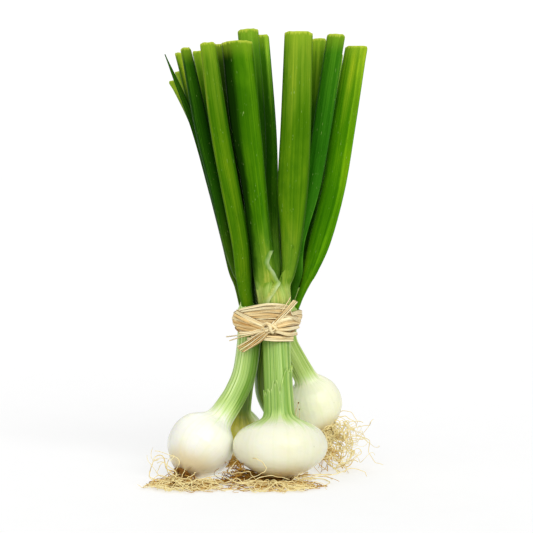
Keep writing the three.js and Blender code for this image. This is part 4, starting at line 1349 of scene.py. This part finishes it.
STRANDS = [
    ((-16.8, 91.6, 0.8, -12.5, 89.4, 1.4, -6, 86.2, 2.2, 0.2, 83.6, 2.6), 2.6, 0.9, 0.98),
    ((-18, 89.8, 1, -13, 87.4, 1.6, -6.5, 84.6, 2.2, -0.2, 83.2, 2.6), 2, 0.8, 0.66),
    ((-18.9, 87.8, 1.2, -12, 86.2, 1.6, -5, 84.2, 2.2, -0.6, 83, 2.4), 1.8, 0.8, 0.88),
    ((-18.7, 86, 1.2, -12, 84.8, 1.6, -5, 83.4, 2, -0.8, 82.6, 2.4), 1.8, 0.8, 0.45),
    ((-17.8, 84.2, 1, -11, 83.2, 1.6, -5, 82.4, 2, -0.6, 82.2, 2.2), 1.8, 0.8, 0.74),
    ((-16.4, 82.4, 0.8, -10, 81.4, 1.4, -4, 81.6, 1.8, 0.4, 82.2, 2.2), 1.6, 0.8, 0.5),
    ((-14.8, 79.6, 0.4, -9, 80.2, 1.4, -3, 82, 2.2, 3.4, 84.4, 3), 2, 0.8, 0.84),
    ((2.2, 84.2, 2.6, 6.4, 86.4, 2.6, 11.5, 87.8, 2.4, 17.6, 86.8, 0.8), 3.2, 1.3, 0.8),
    ((3, 83.4, 2.6, 7.4, 84.6, 2.8, 12.4, 85.6, 2.6, 18.2, 84.6, 0.8), 3, 1.2, 0.68),
    ((3.4, 82.8, 2.4, 8.2, 82.6, 2.4, 13, 82.6, 2.2, 17.8, 82.2, 0.8), 2.4, 1, 0.86),
    ((2.8, 82.2, 2.2, 7.4, 81, 2.2, 12.4, 79.6, 2, 16.8, 78.8, 0.8), 2.2, 1, 0.76),
    ((6.4, 88.6, 1.8, 11, 89.4, 2.2, 15, 88.4, 2, 18.4, 85.6, 0.8), 2.4, 1, 0.88),
    ((-8.4, 77.8, 1.4, -2, 78.8, 2, 5, 78.4, 2.2, 14.8, 77.2, 1), 1.6, 0.8, 0.8),
    ((-10.6, 76.8, 1.6, -3, 77.2, 2, 5, 76.8, 2, 14.6, 76, 1), 1.8, 0.8, 1),
]

# The knot and its loose ends

KNOT = [
    ((-1.6, 84.8, 2.6, 0.4, 85.6, 4, 3.6, 84.2, 4.4, 5.6, 82.4, 3.2), 2.4, 1.1, 0.82),
    ((-2.2, 82, 2.6, 0.2, 82.4, 4.4, 2.8, 84.4, 4.6, 4.6, 86.4, 3.4), 2.6, 1.1, 0.92),
    ((-0.8, 81, 2.8, 2.2, 81.6, 4, 4.8, 83.8, 4, 4.4, 86, 3), 1.8, 1, 0.74),
    ((0.2, 86.2, 3, 1.8, 84.4, 4.8, 2.2, 82.2, 4.8, 3.4, 80.8, 3.2), 1.8, 1, 0.86),
    ((-2.8, 84, 2.4, -1.2, 82.6, 3.8, 1.4, 81.6, 3.8, 4.2, 81.6, 3), 1.6, 0.9, 0.78),
]

ENDS = [
    ((3, 84, 3.6, 7.2, 88.6, 3.6, 11.8, 93.6, 3.4, 16, 98, 3.4), 1, 0.5, 0.92),
    ((2.4, 84.6, 3.9, 6.4, 89.1, 3.9, 11, 93.9, 3.7, 15, 98.4, 3.7), 0.8, 0.5, 0.62),
    ((3.6, 83.6, 3.4, 8, 88.2, 3.3, 12.7, 92.9, 3.2, 16.9, 97.2, 3.2), 0.8, 0.5, 0.98),
    ((8.6, 92.8, 2.8, 10.4, 95.8, 2.8, 12, 98.2, 2.8, 13.2, 100.2, 2.8), 0.5, 0.4, 0.95),
    ((0.2, 82.8, 3.9, -5, 79.7, 3.7, -10.5, 75.7, 3.5, -16.2, 72.2, 3.3), 0.8, 0.6, 0.95),
    ((0.6, 82.4, 3.6, -4.6, 79, 3.4, -9.9, 74.9, 3.2, -15.6, 71.2, 3), 0.8, 0.6, 0.45),
    ((0.8, 82, 3.9, -4.2, 78.3, 3.7, -9.2, 74.2, 3.4, -14.8, 70.2, 3.2), 0.8, 0.6, 0.88),
    ((1, 81.6, 3.4, -3.7, 77.6, 3.2, -8.4, 73.6, 3, -13.6, 69.5, 2.8), 0.8, 0.6, 0.4),
    ((1.2, 81.2, 3.6, -3, 76.9, 3.4, -7.6, 73.2, 3.1, -12.6, 69.6, 2.9), 0.7, 0.6, 0.8),
    ((1.4, 80.8, 3.2, -2.4, 76.4, 3, -6.6, 73.4, 2.8, -11.2, 70.8, 2.6), 0.7, 0.6, 0.6),
    ((-0.6, 82.2, 3.2, -8, 80.2, 3.4, -15, 78.8, 3.4, -22.4, 76.9, 3.2), 0.75, 0.5, 0.97),
    ((-0.8, 81.6, 3, -8, 79.4, 3.2, -14, 77.8, 3.2, -20.6, 75, 3), 0.65, 0.45, 0.8),
]


def make_tie(material):
    mesh = Mesh(floats=("tint", "rim"))
    for k, sizes in enumerate(windings()):
        wound(mesh, *sizes, SEEDS["wound"] + k, turn=FIRST_TURN + TURN_STEP * k)
    for k, (points, width, thick, tint) in enumerate(STRANDS + KNOT + ENDS):
        strand(mesh, points, width, thick, tint, SEEDS["strands"] + k)
    mesh.build("raffia_tie_strands", material, "raffia_tie")


# The pieces

for onion in ONIONS:
    onion["line"] = Line(onion["axis"])
    onion["stations"] = bulb_stations(onion, 40, 10)
    samples = onion["line"].at(np.linspace(0, 1, 400))
    onion["samples"] = samples
    steps = np.diff(samples, axis=0)
    onion["slant"] = np.linalg.norm(steps, axis=1) / np.maximum(steps[:, 2], 1e-6)
    onion["slant_z"] = samples[:-1, 2]

bulb_white = bulb_material("bulb_white", (0.96, 0.965, 0.86), (0.20, 0.37, 0.05),
                           (0.34, 0.53, 0.11), (0.62, 0.80, 0.32))
bulb_cream = bulb_material("bulb_cream", (0.88, 0.88, 0.70), (0.17, 0.34, 0.05),
                           (0.245, 0.44, 0.062), (0.48, 0.68, 0.17))
bulb_warm = bulb_material("bulb_warm", (0.94, 0.95, 0.72), (0.20, 0.34, 0.05),
                          (0.40, 0.56, 0.13), (0.62, 0.76, 0.30))
# Painted shade: the back bulbs are dark olive towards the front and paler behind.
bulb_shade = bulb_material("bulb_shaded", (0.54, 0.50, 0.07), (0.035, 0.085, 0.006),
                           (0.09, 0.17, 0.012), (0.24, 0.34, 0.04), rear=True)
ONION_LOOKS = {"front": bulb_cream, "left": bulb_white, "right": bulb_warm,
               "back_left": bulb_shade, "back": bulb_shade}
skins = {}
for k, onion in enumerate(ONIONS):
    skins[onion["name"]] = BulbSkin(onion, SEEDS["bulbs"] + 50 * k)
    make_bulb(onion, skins[onion["name"]], ONION_LOOKS[onion["name"]])

make_outer_skin("front_neck_torn_layer", skins["front"], bulb_cream, torn_rim)

leaf_looks = {look: leaf_material(look) for look in LEAF_LOOKS}
leaves = {}
for k, spec in enumerate(LEAVES):
    grower = next(o for o in ONIONS if spec["name"].startswith(o["name"] + "_leaf"))
    leaves[spec["name"]] = make_leaf(spec, leaf_looks[spec["look"]],
                                     SEEDS["leaves"] + 10 * k, grower)

front_leaves = [leaf for name, leaf in leaves.items() if name.startswith("front_leaf")]
front_sheath = Sheath(ONIONS[0], front_leaves)
make_collar("front_sheath", front_sheath, leaves["front_leaf_wide_left"],
            leaf_looks["olive"], mouth, SEEDS["sheath"])
make_flap("front_sheath_overlap", front_sheath,
          [leaves["front_leaf_wide_left"], leaves["front_leaf_wide_right"]],
          leaf_material("olive", "olive_film", (0.62, 0.76, 0.46)), MEMBRANE, SEEDS["overlap"])

roots_dry = root_material()
make_threads(roots_dry)
for onion in ONIONS:
    make_roots(onion, roots_dry)
make_tie(raffia_material())


# Floor, light and camera

FLOOR_REACH, FLOOR_CUTS, FLOOR_DROP = 40.0, 40, 0.0002
SKY_LIT, SKY_SEEN = 0.57, 1.05
CAMERA_DISTANCE, CAMERA_HEIGHT, CAMERA_PITCH = 0.950, 0.170, math.radians(3.25)
CAMERA_LENS, CAMERA_SENSOR = 114.55, 36

# Each sun: the way its light goes, its angle in degrees and its strength

SUNS = {
    "key": ((-0.52, 1.0, -0.80), 46, 1.55),
    "behind": ((0.15, -0.85, -1.0), 60, 0.45),
    "fill": ((0.8, 0.75, -0.35), 70, 0.50),
    "bounce": ((0.05, 0.3, 1.0), 80, 0.55),
}


def make_floor():
    line = np.linspace(-FLOOR_REACH, FLOOR_REACH, FLOOR_CUTS)
    verts = stacked(*np.meshgrid(line, line), -FLOOR_DROP).reshape(-1, 3)
    mesh = bpy.data.meshes.new("studio_floor")
    mesh.from_pydata(verts.tolist(), [], grid_faces(FLOOR_CUTS, FLOOR_CUTS, False).tolist())
    floor = add_object("studio_floor", mesh)
    s = Shader("studio_floor_white")
    place = s.node("NewGeometry", {}).outputs["Position"]
    paper = s.noise(place, 40.0, 40.0, 3)
    s.surface(Base_Color=s.mix(paper, (0.55, 0.55, 0.55), (0.57, 0.57, 0.57)),
              Roughness=0.9, Specular_IOR_Level=0.0, Emission_Color=(1, 1, 1),
              Emission_Strength=0.44)
    mesh.materials.append(s.material)
    floor.visible_diffuse = False
    floor.visible_shadow = False


def make_world():
    """A white sky that lights the bunch less than the camera sees of it."""
    world = bpy.data.worlds.new("studio")
    bpy.context.scene.world = world
    world.use_nodes = True
    nodes, links = world.node_tree.nodes, world.node_tree.links
    nodes.clear()
    either = nodes.new("ShaderNodeMixShader")
    for slot, strength in ((1, SKY_LIT), (2, SKY_SEEN)):
        sky = nodes.new("ShaderNodeBackground")
        sky.inputs[0].default_value = (1, 1, 1, 1)
        sky.inputs[1].default_value = strength
        links.new(sky.outputs[0], either.inputs[slot])
    path = nodes.new("ShaderNodeLightPath")
    links.new(path.outputs["Is Camera Ray"], either.inputs[0])
    out = nodes.new("ShaderNodeOutputWorld")
    links.new(either.outputs[0], out.inputs[0])


def sun_light(name, towards, angle, strength):
    data = bpy.data.lights.new(name, "SUN")
    data.angle, data.energy = math.radians(angle), strength
    light = add_object(name, data)
    light.rotation_mode = "QUATERNION"
    light.rotation_quaternion = Vector(towards).to_track_quat("-Z", "Y")


def make_camera():
    data = bpy.data.cameras.new("camera")
    data.sensor_width, data.lens = CAMERA_SENSOR, CAMERA_LENS
    data.clip_start, data.clip_end = 0.01, 50
    camera = add_object("camera", data)
    camera.location = (SHIFT[0] * MM, SHIFT[1] * MM - CAMERA_DISTANCE, CAMERA_HEIGHT)
    camera.rotation_euler = (math.pi / 2 - CAMERA_PITCH, 0, 0)
    bpy.context.scene.camera = camera


make_floor()
make_world()
for name, sun in SUNS.items():
    sun_light(name, *sun)
make_camera()
bpy.context.scene.view_settings.view_transform = "Standard"
bpy.context.scene.view_settings.look = "None"
